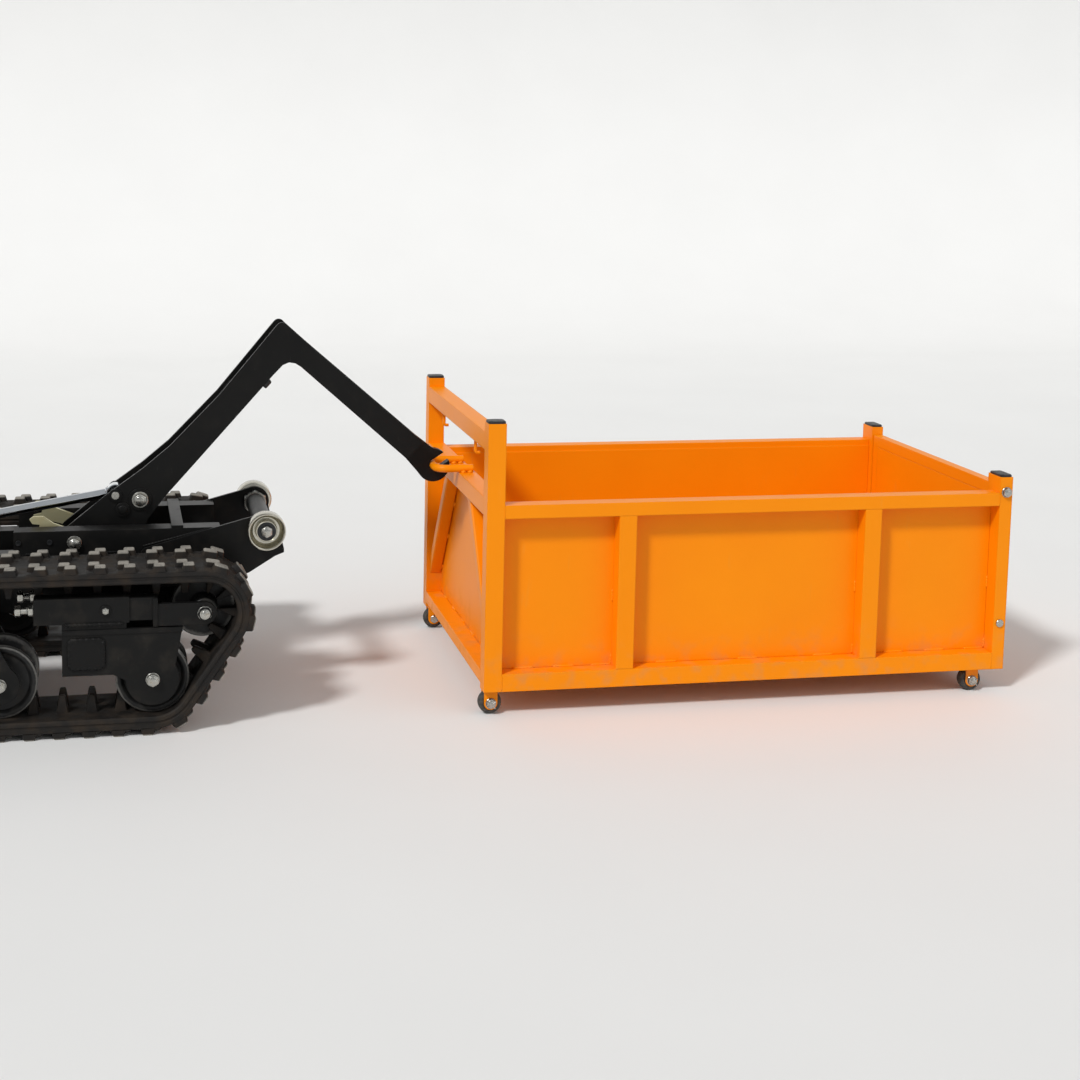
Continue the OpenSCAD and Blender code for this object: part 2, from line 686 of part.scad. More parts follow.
module chassis_bolts() color(zinc) placed() both() {
    for (x = rollers) translate([x, belt_y, roller_z]) {
        end = plate_in + side_t;
        rod_y(roller_axle_r, -end - 8, end + 10);
        rod_y(roller_axle_r * 1.7, end, end + 3);
        hex_y(roller_axle_r * 1.5, end + 2, end + 12);
        hex_y(roller_axle_r * 1.5, -end - 10, -end);
    }
    screw = [-roller_x - tension_in - tension_l, belt_y, tension_z + tension_h / 2];
    for (s = [-1, 1]) translate(screw + [0, s * tension_v, 0]) rotate([0, -90, 0]) {
        translate([0, 0, -20]) cylinder(r = 8, h = 60);
        cylinder(r = 13, h = 12, $fn = 6);
        translate([0, 0, 26]) cylinder(r = 13, h = 14, $fn = 6);
    }
    translate([-guide_x, 0, guide_z]) {
        out = runner_y + guide_roller_w / 2;
        rod_y(guide_axle_r, rail_y - 12, out);
        hex_y(guide_axle_r * 1.6, out - 7.5, out + 2);
        rod_y(guide_axle_r * 1.5, rail_y + bracket_t, runner_y - guide_roller_w / 2 - rest_gap);
    }
    translate([lock_x, 0, lock_z]) {
        rod_y(lock_r, beam_in - 28, rail_y + 4);
        rod_y(lock_r * 2, rail_y, rail_y + 3);
        hex_y(lock_r * 1.5, rail_y + 2, rail_y + 11);
    }
    for (x = [rail_x + 10, rail_x + 77]) translate([x, 0, lock_z + 3]) hex_y(6, rail_y, rail_y + 4);
}

module lock_hooks() color("#c9bd8a") placed() both() plate_y(beam_in - 18, 10) difference() {
    union() {
        translate([lock_x, lock_z]) circle(14);
        translate([lock_x, lock_z]) polygon([[0, 14], [-46, 32], [-68, 48], [-90, 48], [-98, 42], [-92, 32],
            [-76, 30], [-78, 20], [-96, 16], [-92, 6], [-60, 2], [0, -14]]);
    }
    translate([lock_x, lock_z]) circle(lock_r + run);
}

module pivot_shaft() color(zinc) placed() translate([-pivot_x, 0, pivot_z])
    rod_y(pivot_r, wall + rest_gap - rail_y, rail_y - wall - rest_gap);

module cylinder_bracket() color(black) placed() translate([-base_x, 0, base_z]) {
    foot = beam_z + 80 - base_z;
    for (y = [-26, 16]) plate_y(y, 10) {
        circle(18);
        polygon([[-17, 4], [17, 4], [17, foot], [-34, foot]]);
    }
    rod_y(base_pin_r, -30, 30);
}

// Hook arm: outline of a cheek from its pivot, up the front edge, round the elbow and back
elbow_r = 14;
base_pin_r = 10;
eye_half = 15;
function from_pivot(points) = [for (p = points) [p[0] - pivot_x, p[1] + pivot_z]];
leg_front = from_pivot([[-75, -11], [-56, 15], [38, 92], [121, 152], [182, 203], [293, 318], [425, 479]]);
elbow = [436 - pivot_x, 470 + pivot_z];
jib_top = from_pivot([[445, 480], [501, 430], [769, 200]]);
jib_low = from_pivot([[730, 161], [479, 382]]);
elbow_in = from_pivot([[466, 390], [452, 392], [438, 386]]);
leg_back = from_pivot([[416, 363], [243, 167], [169, 84], [132, 34], [115, -11]]);
heel = from_pivot([[60, -46], [0, -56], [-50, -44]]);
cheek_bolts = from_pivot([[115, 81], [76, 59]]);
module cheek_shape() difference() {
    union() {
        polygon(concat(leg_front, [elbow], jib_top, jib_low, elbow_in, leg_back, heel));
        translate(elbow) circle(elbow_r);
    }
    translate([-pivot_x, pivot_z]) circle(pivot_r + run);
    translate([-rod_pin_x, rod_pin_z]) circle(9 + bolt_play);
    for (p = cheek_bolts) translate(p) circle(10 + bolt_play);
}
module arm_cheeks() color(black) placed() both() {
    plate_y(cheek_y, cheek_t) cheek_shape();
    translate([-pivot_x, 0, pivot_z]) difference() {
        rod_y(pivot_r + 9, cheek_y + cheek_t - 1, beam_in - 30);
        rod_y(pivot_r + run, cheek_y, beam_in - 29);
    }
}

// Strip of a web beside the line from p to q, on its right-hand side
module strip(p, q, inset) {
    d = (q - p) / norm(q - p);
    n = [d[1], -d[0]];
    polygon([p + n * inset, q + n * inset, q + n * (inset + web_t), p + n * (inset + web_t)]);
}
hook_start = 600 - pivot_x;
function jib_at(line, x) = let (p = line[0], d = line[1] - p) [x, p[1] + d[1] * (x - p[0]) / d[0]];
module arm_webs() color(black) placed() {
    web_end = 24;
    top_edge = [jib_top[1], jib_top[2]];
    low_edge = [jib_low[1], jib_low[0]];
    plate_y(-cheek_y, 2 * cheek_y) {
        strip(leg_front[5] + [-62, -64], leg_front[6], web_set);
        strip(leg_back[0], leg_back[2] + [20, 24], web_set - 8);
        strip(jib_at(top_edge, hook_start - 130), jib_at(top_edge, hook_start - web_end), web_set - 6);
        strip(jib_at(low_edge, hook_start - web_end), low_edge[0], web_set - 6);
    }
    plate_y(-cheek_y, 2 * cheek_y) translate(elbow_in[2] + [-16, -18]) rotate(47) square([16, 14]);
}

module jib_hook() color(black) placed() {
    top_edge = [jib_top[1], jib_top[2]];
    low_edge = [jib_low[1], jib_low[0]];
    block_end = hook_start + 120;
    inset = 3;
    hook_c = [-bail_reach, bail_z];
    lift = [0, inset];
    plate_y(-cheek_y, 2 * cheek_y)
        polygon([jib_at(top_edge, hook_start) - lift, jib_at(top_edge, block_end) - lift,
            jib_at(low_edge, block_end) + lift, jib_at(low_edge, hook_start) + lift]);
    plate_y(-hook_t / 2, hook_t) difference() {
        union() {
            translate(hook_c) circle(hook_r);
            polygon([jib_at(top_edge, block_end - 4) - lift, hook_c + [-2, hook_r + 2], hook_c + [14, 34],
                hook_c + [18, 24], hook_c, hook_c + [-22, 6 - hook_r],
                jib_at(low_edge, block_end - 4) + lift]);
        }
        translate(hook_c) rotate(34) translate([throat_r - bail_d / 2 - rest_gap, 0]) {
            circle(throat_r);
            translate([0, 1 - throat_r]) square([hook_r * 2, 2 * throat_r - 2]);
        }
    }
}

module arm_bolts() color(zinc) placed() {
    out = cheek_y + cheek_t;
    both() {
        translate([-rod_pin_x, 0, rod_pin_z]) {
            rod_y(9, cheek_y + rest_gap, out + 8);
            rod_y(15, out, out + 5);
        }
        translate([cheek_bolts[1][0], 0, cheek_bolts[1][1]]) {
            rod_y(10, cheek_y + rest_gap, out + 4);
            rod_y(16, out, out + 6);
        }
        translate([cheek_bolts[0][0], 0, cheek_bolts[0][1]]) {
            rod_y(19, out, out + 4);
            hex_y(15, out + 3, out + 14);
        }
    }
    translate([cheek_bolts[0][0], 0, cheek_bolts[0][1]]) rod_y(10, -out - 18, out + 18);
}

// Lift cylinder, drawn along x from its base pin and tilted to its slope at rest
module tilted() placed() translate([-base_x, 0, base_z]) rotate([0, -cylinder_slope, 0]) children();
barrel_bore = barrel_r - 6;
gland_l = 24;
cap_l = 24;
module cylinder_barrel() color(black) tilted() difference() {
    union() {
        rod_y(20, -eye_half, eye_half);
        translate([10, 0, 0]) rotate([0, 90, 0]) cylinder(r = 14, h = 14);
        translate([20, 0, 0]) rotate([0, 90, 0]) cylinder(r = barrel_r, h = barrel_l - gland_l - 20);
        for (x = [40, barrel_l - gland_l - 22])
            translate([x, 0, -barrel_r + 2]) rotate([180, 0, 0]) cylinder(r = 9, h = 14);
    }
    rod_y(base_pin_r + run, -eye_half - 1, eye_half + 1);
    translate([20 + cap_l, 0, 0]) rotate([0, 90, 0]) cylinder(r = barrel_bore, h = barrel_l);
}
module cylinder_gland() color(black) tilted()
    translate([barrel_l - gland_l, 0, 0]) rotate([0, 90, 0]) difference() {
        cylinder(r = gland_r, h = gland_l);
        translate([0, 0, -1]) cylinder(r = rod_r + run, h = gland_l + 2);
    }
module cylinder_rod() color(chrome) tilted() {
    piston_end = barrel_l - gland_l - 4;
    piston_l = 28;
    translate([piston_end - piston_l, 0, 0]) rotate([0, 90, 0]) cylinder(r = barrel_bore - run, h = piston_l);
    translate([piston_end - 2, 0, 0]) rotate([0, 90, 0])
        cylinder(r = rod_r, h = cylinder_l - eye_r - piston_end + 6);
    translate([cylinder_l, 0, 0]) {
        rod_y(eye_r, -eye_half, eye_half);
        rod_y(9, 1 - cheek_y, cheek_y - 1);
    }
}

module final_drive() color(cast) placed() {
    half = 70;
    between = beam_in - weld;
    translate([-sprocket_x - half, -between, end_z - half]) cube([2 * half, 2 * between, 2 * half - 12]);
    both() translate([-sprocket_x, 0, end_z]) difference() {
        union() {
            rod_y(38, rail_y, rail_y + 14);
            rod_y(28, rail_y + 13, rail_y + 34);
        }
        rod_y(shaft_r + run, rail_y - 1, rail_y + 35);
    }
}
module sprocket(side) color(cast) placed()
    translate([-sprocket_x, 0, end_z]) mirror([0, side < 0 ? 1 : 0, 0]) {
    half = channel - 3;
    rod_y(shaft_r, beam_in + 1, belt_y + 40);
    rod_y(28, belt_y - 40, belt_y + 40);
    plate_y(belt_y - half, 2 * half) {
        circle(end_r - 18);
        for (i = [0:teeth - 1]) rotate(i * 360 / teeth)
            polygon([[end_r - 24, -13], [end_r - 1, -7], [end_r - 1, 7], [end_r - 24, 13]]);
    }
}
module sprocket_right() sprocket(-1);
module sprocket_left() sprocket(1);

// Power unit on the deck behind the stowed arm
deck_top = beam_top_z + deck_t;
deck_end = -deck_x - deck_l;
crank_x = -deck_x - tank_l - 40 - crank_l;
crank_top = deck_top + crank_h;
module engine_deck() color(black) placed()
    translate([deck_end, -deck_y, beam_top_z]) cube([deck_l, 2 * deck_y, deck_t]);
module hydraulic_tank() color(black) placed() translate([-deck_x - tank_l - 10, 0, deck_top]) {
    translate([0, -150, 0]) cube([tank_l, 300, tank_h]);
    translate([tank_l / 2, 90, tank_h - 1]) cylinder(r = 26, h = 23);
}
module engine_block() color(cast) placed() translate([crank_x, -crank_w / 2, deck_top]) {
    cube([crank_l, crank_w, crank_h]);
    fin_w = 120;
    translate([(crank_l - fin_w) / 2, (crank_w - fin_w) / 2, 0]) {
        translate([14, 14, crank_h - 1]) cube([fin_w - 28, fin_w - 28, fins * 11 + 2]);
        for (i = [1:fins]) translate([0, 0, crank_h + i * 11 - 5]) cube([fin_w, fin_w, 5]);
    }
}
module engine_shroud() color(black) placed()
    translate([crank_x + crank_l / 2, crank_w / 2, deck_top + 100]) difference() {
        union() {
            rod_y(96, 0, 42);
            rod_y(74, 41, 62);
        }
        for (i = [0:11]) rotate([0, i * 30, 0]) translate([40, 50, -5]) cube([24, 13, 10]);
    }
module fuel_tank() color(orange) placed() translate([crank_x, 0, crank_top]) {
    low = fins * 11 + 14;
    translate([4, -95, low]) cube([crank_l - 8, 190, 62]);
    translate([crank_l / 2, 0, low + 61]) cylinder(r = 30, h = 20);
    for (x = [8, crank_l - 20], y = [-92, 80]) translate([x, y, 0]) cube([12, 12, low + 1]);
}
module air_filter() color(black) placed()
    translate([crank_x - 62, -60, crank_top - 30]) cube([62, 120, 104]);
module muffler() color("#6d6a66") placed() translate([crank_x + 24, -crank_w / 2, crank_top - 60]) {
    translate([0, -64, 0]) cube([crank_l - 48, 56, 100]);
    translate([crank_l / 2 - 24, 0, 30]) rod_y(14, -9, 0);
    translate([20, -32, 99]) cylinder(r = 11, h = 26);
}

// Handlebars: a tube each side rises from the deck's corner, turns at two knuckles and runs back to its grip
bar_side = deck_y - bar_r - 2;
bar_path = [[deck_end + 40, deck_top + 4], [deck_end - 30, grip_z - 120], [deck_end - 80, grip_z],
    [deck_end - handle_reach, grip_z]];
function way(p, q) = (q - p) / norm(q - p);
module bar_between(p, q) translate([p[0], 0, p[1]]) rotate([0, 90 - atan2(q[1] - p[1], q[0] - p[0]), 0])
    cylinder(r = bar_r, h = norm(q - p));
cross_bar = bar_path[1] - 50 * way(bar_path[0], bar_path[1]);
cross_r = bar_r - 2;
module handlebars() color(black) placed() {
    both() translate([0, bar_side, 0]) {
        for (i = [0:2]) bar_between(bar_path[i], bar_path[i + 1]);
        for (i = [1:2]) translate([bar_path[i][0], 0, bar_path[i][1]]) sphere(bar_r + 3);
        translate([bar_path[0][0], 0, deck_top]) cylinder(r = 30, h = 8);
    }
    translate([cross_bar[0], 0, cross_bar[1]]) rod_y(cross_r, -bar_side, bar_side);
}
module hand_grips() color("#171717") placed() both()
    translate([deck_end - handle_reach - grip_cap, bar_side, grip_z]) rotate([0, 90, 0]) difference() {
        cylinder(r = bar_r + 5, h = grip_l);
        translate([0, 0, grip_cap]) cylinder(r = bar_r + run, h = grip_l);
    }
valve = [70, 170, 56];
valve_top = cross_bar[1] + cross_r + valve[2];
lever_r = 5;
lever_z = valve_top + 12;
levers = [-50, 50];
module control_valve() color(cast) placed() translate([cross_bar[0], 0, 0]) {
    translate([-valve[0] / 2, -valve[1] / 2, valve_top - valve[2]]) cube(valve);
    for (y = levers) {
        for (s = [-14, 8]) translate([-9, y + s, valve_top - 1]) cube([18, 6, 22]);
        translate([0, 0, lever_z]) rod_y(lever_r, y - 18, y + 18);
    }
}
module lever(y, l, knob) placed() translate([cross_bar[0], y, lever_z]) {
    difference() {
        rod_y(9, -7.5, 7.5);
        rod_y(lever_r + run, -9, 9);
    }
    translate([0, 0, 8]) cylinder(r = 5, h = l - 8);
    translate([0, 0, l]) sphere(knob);
}
module lift_lever() color(black) lever(levers[0], 150, 17);
module throttle_lever() color("#b3261e") lever(levers[1], 90, 12);

main_frame();
cross_tubes();
side_plates();
tensioner_tubes();
roller_brackets();
chassis_bolts();
pivot_shaft();
cylinder_bracket();
left_track();
right_track();
final_drive();
engine_deck();
engine_block();
engine_shroud();
fuel_tank();
air_filter();
muffler();
hydraulic_tank();
control_valve();
handlebars();
hand_grips();
arm_cheeks();
arm_webs();
jib_hook();
arm_bolts();
cylinder_barrel();
cylinder_gland();
cylinder_rod();
container_posts();
container_rails();
container_panels();
container_floor();
front_braces();
hook_bail();
post_caps();
wheel_forks();
container_bolts();
tailgate_frame();
tailgate_panel();
caster_front_right();
caster_front_left();
caster_rear_right();
caster_rear_left();
guide_roller_right();
guide_roller_left();
road_roller_right_1();
road_roller_right_2();
road_roller_right_3();
road_roller_left_1();
road_roller_left_2();
road_roller_left_3();
idler_right();
idler_left();
idler_yoke_right();
idler_yoke_left();
sprocket_right();
sprocket_left();
lock_hooks();
lift_lever();
throttle_lever();
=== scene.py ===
import math

import bpy
import numpy as np
from mathutils import Matrix, Vector


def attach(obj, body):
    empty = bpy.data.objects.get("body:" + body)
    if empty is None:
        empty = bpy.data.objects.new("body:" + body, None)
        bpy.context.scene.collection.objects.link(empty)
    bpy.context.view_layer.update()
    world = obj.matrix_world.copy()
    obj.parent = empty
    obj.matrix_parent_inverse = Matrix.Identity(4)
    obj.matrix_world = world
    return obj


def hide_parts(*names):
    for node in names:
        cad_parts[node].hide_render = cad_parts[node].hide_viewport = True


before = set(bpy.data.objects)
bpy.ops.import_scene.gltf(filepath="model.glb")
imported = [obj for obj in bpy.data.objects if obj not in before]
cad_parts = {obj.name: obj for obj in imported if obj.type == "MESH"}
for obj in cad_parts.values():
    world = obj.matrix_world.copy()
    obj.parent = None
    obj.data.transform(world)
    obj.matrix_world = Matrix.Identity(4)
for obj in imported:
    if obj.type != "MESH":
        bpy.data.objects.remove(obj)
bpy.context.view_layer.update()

# Viewpoint: a camera at standing height beside the container's near front corner, level with
# the operator's chest. A 59 mm lens frames the container, the hook arm and the front of the tracks.
camera = bpy.data.cameras.new("camera")
camera.sensor_width = 36
camera.lens = 58.74
camera.shift_x = 0.07
camera.shift_y = -0.18
camera.clip_end = 100
viewpoint = bpy.data.objects.new("camera", camera)
viewpoint.matrix_world = Matrix((
    (0.980106, 0.006718, -0.198362, -0.2977),
    (-0.197718, 0.120300, -0.972849, -4.0466),
    (0.017328, 0.992715, 0.119235, 1.2748),
    (0, 0, 0, 1),
))
scene = bpy.context.scene
scene.collection.objects.link(viewpoint)
scene.camera = viewpoint
scene.view_settings.view_transform = "Standard"


# Container steelwork: square-tube posts and rails with sheet panels, all powder coated orange.
# The coat has a fine orange peel, soft edges and rubbed streaks, and carries yard dust low down.
class Sock:
    """A shader socket: + - * with numbers or sockets add Math nodes, and node() adds any other."""

    def __init__(self, tree, socket=None):
        self.tree = tree
        self.socket = socket

    def node(self, kind, settings, inputs, output=0):
        made = self.tree.nodes.new("ShaderNode" + kind)
        for name, value in settings.items():
            setattr(made, name, value)
        for name, value in inputs.items():
            if isinstance(value, Sock):
                self.tree.links.new(value.socket, made.inputs[name])
            else:
                made.inputs[name].default_value = value
        return Sock(self.tree, made.outputs[output])

    def math(self, operation, a, b):
        return self.node("Math", {"operation": operation}, {0: a, 1: b})

    def __add__(self, other):
        return self.math("ADD", self, other)

    def __sub__(self, other):
        return self.math("SUBTRACT", self, other)

    def __rsub__(self, other):
        return self.math("SUBTRACT", other, self)

    def __mul__(self, other):
        return self.math("MULTIPLY", self, other)

    __radd__ = __add__
    __rmul__ = __mul__

    def noise(self, place, scale, detail=4.0, stretch=(1, 1, 1)):
        """Cloudy value from 0 to 1 at a scale per metre, drawn out along the axes by stretch."""
        moved = self.node("Mapping", {}, {"Vector": place, "Scale": stretch})
        return self.node("TexNoise", {}, {"Vector": moved, "Scale": scale, "Detail": detail})

    def above(self, value, low, high):
        """0 below low, 1 above high, and a smooth step between."""
        return self.node("MapRange", {"interpolation_type": "SMOOTHSTEP"},
                         {"Value": value, "From Min": low, "From Max": high})

    def tint(self, share, first, second):
        """The first colour where share is 0 and the second where it is 1."""
        first, second = (c if isinstance(c, Sock) else (*c, 1) for c in (first, second))
        return self.node("Mix", {"data_type": "RGBA"}, {0: share, 6: first, 7: second}, 2)

    def bump(self, height, strength, distance, normal=None):
        """A normal tilted by the slope of a height, from another normal if one is given."""
        inputs = {"Strength": strength, "Distance": distance, "Height": height}
        return self.node("Bump", {}, {**inputs, "Normal": normal} if normal else inputs)

    def rounded(self, radius):
        """The normal of an edge that is rounded off by a radius."""
        return self.node("Bevel", {"samples": 6}, {"Radius": radius})

    def height(self, place):
        return self.node("SeparateXYZ", {}, {"Vector": place}, 2)

    def wear_and_painted_light(self):
        """Each point's share of wear as put() stores it; on the chrome rod it is a share of painted
        light.
        """
        return self.node("Attribute", {"attribute_name": "wear_and_painted_light"}, {}, 2)


def finish(name, recipe):
    """A material. Its recipe gets an empty socket and the object's coordinates, and returns what
    feeds the shader."""
    material = bpy.data.materials.new(name)
    material.use_nodes = True
    tree = material.node_tree
    tree.nodes.clear()
    start = Sock(tree)
    shader = start.node("BsdfPrincipled", {}, recipe(start, start.node("TexCoord", {}, {}, 3)))
    surface = tree.nodes.new("ShaderNodeOutputMaterial")
    tree.links.new(shader.socket, surface.inputs["Surface"])
    return material


def powder_coat(colours, cloud, peel, bump, radius, low, dust, dirt, rub, bare, rough, specular):
    """A recipe of two close shades under an orange peel, with dust that thickens towards the ground
    and rubbed streaks. dust is (even share, noise scale, detail, bounds of above()), dirt and bare
    are (strength, colour), and rough is a value and what clouds, dust and rubbing add to it."""
    def recipe(start, place):
        clouds = start.noise(place, cloud)
        ground = 1 - start.above(start.height(place), *low)
        dusty = (dust[0] + ground) * start.above(start.noise(place, *dust[1:3]), *dust[3:])
        rubbed = start.above(start.noise(place, *rub), 0.66, 0.74)
        base = start.tint(dusty * dirt[0], start.tint(clouds, *colours), dirt[1])
        return {"Base Color": start.tint(rubbed * bare[0], base, bare[1]),
                "Normal": start.bump(start.noise(place, peel, 2.0), *bump, start.rounded(radius)),
                "Roughness": rough[0] + clouds * rough[1] + dusty * rough[2] + rubbed * rough[3],
                "Specular IOR Level": specular}
    return recipe


orange = finish("orange_powder_coat", powder_coat(
    colours=((0.90, 0.250, 0.0005), (0.96, 0.292, 0.001)), cloud=6.0, peel=900.0,
    bump=(0.06, 0.0006), radius=0.003, low=(0.04, 0.2), dust=(0, 26.0, 8.0, 0.45, 0.75),
    dirt=(0.30, (0.36, 0.26, 0.16)), rub=(60.0, 6.0, (1, 1, 0.15)), bare=(0.10, (0.72, 0.34, 0.07)),
    rough=(0.34, 0.08, 0.3, 0.12), specular=0.15))


def coat(material, *nodes):
    for node in nodes:
        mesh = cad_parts[node].data
        mesh.materials.clear()
        mesh.materials.append(material)


coat(orange, "container_posts", "container_rails", "container_panels", "container_floor",
     "hook_bail", "wheel_forks", "tailgate_frame", "tailgate_panel")


# Weld seams of the container: short stitches where the sheets meet the tubes, corner welds at the
# posts and fillets under the bail's legs, painted over with the steelwork.
def quads(rows, columns, ring=False):
    """Corner numbers of a grid's faces. The last column joins the first one if ring is set."""
    number = np.arange(rows * columns).reshape(rows, columns)
    if ring:
        number = np.concatenate([number, number[:, :1]], axis=1)
    here, onward = number[:-1], number[1:]
    corners = [here[:, :-1], here[:, 1:], onward[:, 1:], onward[:, :-1]]
    return np.stack(corners, -1).reshape(-1, 4)


def tube(path, radius, sides=10):
    """Round bar: a circle square to a path of points, of one radius or of one for each point."""
    path = np.asarray(path, float)
    along = np.gradient(path, axis=0)
    along /= np.linalg.norm(along, axis=1, keepdims=True)
    level = np.where(np.abs(along[:, 2:3]) > 0.9, [[1.0, 0, 0]], [[0, 0, 1.0]])
    side = np.cross(along, level)
    side /= np.linalg.norm(side, axis=1, keepdims=True)
    over = np.cross(along, side)
    turn = np.linspace(0, 2 * np.pi, sides, endpoint=False)
    ring = np.cos(turn)[:, None] * side[:, None] + np.sin(turn)[:, None] * over[:, None]
    size = np.broadcast_to(radius, len(path))[:, None, None]
    points = (path[:, None] + size * ring).reshape(-1, 3)
    ends = np.array([points[:sides].mean(0), points[-sides:].mean(0)])
    first = np.arange(sides)
    last = first + len(points) - sides
    centre = np.full(sides, len(points))
    low = np.stack([centre, np.roll(first, -1), first, first], -1)
    high = np.stack([centre + 1, last, np.roll(last, -1), np.roll(last, -1)], -1)
    faces = np.concatenate([quads(len(path), sides, True), low, high])
    return np.concatenate([points, ends]), faces


def stitch(start, end, size=0.003):
    """Weld bead from start to end: a bar that swells by a third with each drop of filler."""
    start, end = np.array([start, end])
    length = np.linalg.norm(end - start)
    steps = max(7, int(length / 0.0022))
    share = np.linspace(0, 1, steps)
    drops = np.abs(np.sin(share * length / (2.4 * size) * np.pi))
    taper = np.sqrt(np.clip(np.minimum(share, 1 - share) * length / (1.5 * size), 0.05, 1))
    wander = 0.12 * size * np.sin(share * length * 900)[:, None]
    path = start + share[:, None] * (end - start) + wander
    return tube(path, size * taper * (0.75 + 0.25 * drops), 8)


def placed(name, points, faces, material):
    """A smooth mesh object of points and faces, linked to the scene."""
    mesh = bpy.data.meshes.new(name)
    mesh.from_pydata(points.tolist(), [], faces)
    mesh.polygons.foreach_set("use_smooth", np.ones(len(mesh.polygons), bool))
    mesh.materials.append(material)
    made = bpy.data.objects.new(name, mesh)
    scene.collection.objects.link(made)
    return made


def put(name, shapes, material, body, *stands_for, wear_and_painted_light=None):
    """Makes a piece from several (points, faces), in place, riding on a body. Points that coincide
    at seams and poles become one, edges over 40 degrees are sharp, and the last keyword gives each
    point's wear, and on the chrome rod its share of painted light and shade instead."""
    firsts = np.cumsum([0] + [len(points) for points, _ in shapes])
    faces = np.concatenate([face + first for (_, face), first in zip(shapes, firsts)])
    points = np.concatenate([points for points, _ in shapes]).round(6)
    points, kept, number = np.unique(points, axis=0, return_index=True, return_inverse=True)
    corners = [list(dict.fromkeys(face)) for face in number.reshape(-1)[faces].tolist()]
    piece = placed(name, points, [face for face in corners if len(face) > 2], material)
    piece.data.set_sharp_from_angle(angle=math.radians(40))
    if wear_and_painted_light is not None:
        piece.data.attributes.new("wear_and_painted_light", "FLOAT", "POINT").data.foreach_set("value", wear_and_painted_light[kept])
    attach(piece, body)
    if stands_for:
        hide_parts(*stands_for)


front_post, rear_post = 0.547, 1.717
stays = (0.807, 0.847, 1.387, 1.427)
side_y, outer_y, sheet_x = 0.340, 0.3795, 0.5465
rail_z, sill_z, top_z, bail_z = 0.056, 0.096, 0.444, 0.4885
bays = [(front_post, stays[0]), stays[1:3], (stays[3], rear_post)]
thin, thick = 0.0016, 0.0055
seams = []
for y in (-side_y, side_y):
    for left, right in bays:
        for share in (0.12, 0.48, 0.82):
            x = left + share * (right - left)
            seams.append(stitch((x, y, sill_z + 0.001), (x + 0.05, y, sill_z + 0.001)))
        for x in (left + 0.001, right - 0.001):
            seams.append(stitch((x, y, 0.24), (x, y, 0.27)))
            seams.append(stitch((x, y, sill_z), (x, y, sill_z + 0.025)))
    outer = math.copysign(outer_y, y)
    for x in stays:
        seams.append(stitch((x, outer * 0.93, sill_z), (x, outer, sill_z), 0.002))
    for x in (front_post, rear_post):
        seams.append(stitch((x, outer, rail_z + 0.003), (x, outer, sill_z - 0.003), thin))
        seams.append(stitch((x, outer, top_z + 0.003), (x, outer, 0.471), thin))
for side in (-1, 1):
    corner = (0.5486, side * 0.3386)
    seams.append(stitch((*corner, sill_z), (*corner, 0.467), 0.0027))
    for share in (0.04, 0.36, 0.68, 0.92):
        place = np.array([0.5462, side * (side_y - 0.226 * share), 0.144 + 0.303 * share])
        seams.append(stitch(place, place + np.array([0, -0.012 * side, 0.016]), 0.0026))
    for x in (0.510, 0.526):
        for y in (side * 0.067, side * 0.049):
            seams.append(stitch((x, y, bail_z), (x + 0.014, y, bail_z), thick))
for y in np.linspace(-0.30, 0.26, 6):
    for left, z in ((y, sill_z + 0.001), (y + 0.01, 0.4475)):
        seams.append(stitch((sheet_x, left, z), (sheet_x, left + 0.035, z)))
put("container_weld_seams", seams, orange, "container")


# Front braces: two lengths of 28 mm square tube in front of the sheet, cut to fit the posts and the
# lower crossbar. Short weld stitches hold them, and they are painted with the steelwork.
def brace(side):
    """Square section with rounded corners carried up a slope: each of its lines starts on the
    post's face, y = side_y, and ends under the crossbar, z = bar_z. lean is the slope's y per z."""
    bar_z, foot_z, lap, corner_r = 0.447, 0.144, 0.0002, 0.0035
    lean, sine = 0.7466, 0.598
    corner = np.repeat(np.arange(4), 5) * np.pi / 2 + np.pi / 4
    turn = corner + np.tile(np.linspace(-np.pi / 4, np.pi / 4, 5), 4)
    across = 0.014 + 0.0105 * np.sign(np.cos(corner)) + corner_r * np.cos(turn)
    depth = 0.53075 + 0.01125 * np.sign(np.sin(corner)) + corner_r * np.sin(turn)
    rise = foot_z + across / sine
    foot = np.stack([depth, np.full(20, side_y + lap), rise], -1)
    head = np.stack([depth, side_y - (bar_z - rise) * lean, np.full(20, bar_z + lap)], -1)
    rows = [np.tile(foot.mean(0), (20, 1)), foot, head, np.tile(head.mean(0), (20, 1))]
    return np.concatenate(rows) * (1, side, 1), quads(4, 20, True)[:, ::-side]


put("front_brace_tubes", [brace(-1), brace(1)], orange, "container", "front_braces")

# Lashing pins: two short bent rods under the front's upper crossbar, which hold the cover's cord.
# They are cut from round bar, bent at the foot and welded on before the paint.
pins = []
pin_x, bend_z, bend_r = 0.527, 0.556, 0.006
bend = np.linspace(0, np.pi / 2, 8)
for y in (-0.150, 0.235):
    drop = [[pin_x, y, z] for z in (0.5935, 0.575, 0.560)]
    foot_x, foot_z = pin_x + bend_r * (1 - np.cos(bend)), bend_z - bend_r * np.sin(bend)
    foot = np.stack([foot_x, np.full(8, y), foot_z], -1)
    pins.append(tube(np.concatenate([drop, foot, [[0.538, y, bend_z - bend_r]]]), 0.0038))
put("lashing_pins", pins, orange, "container")


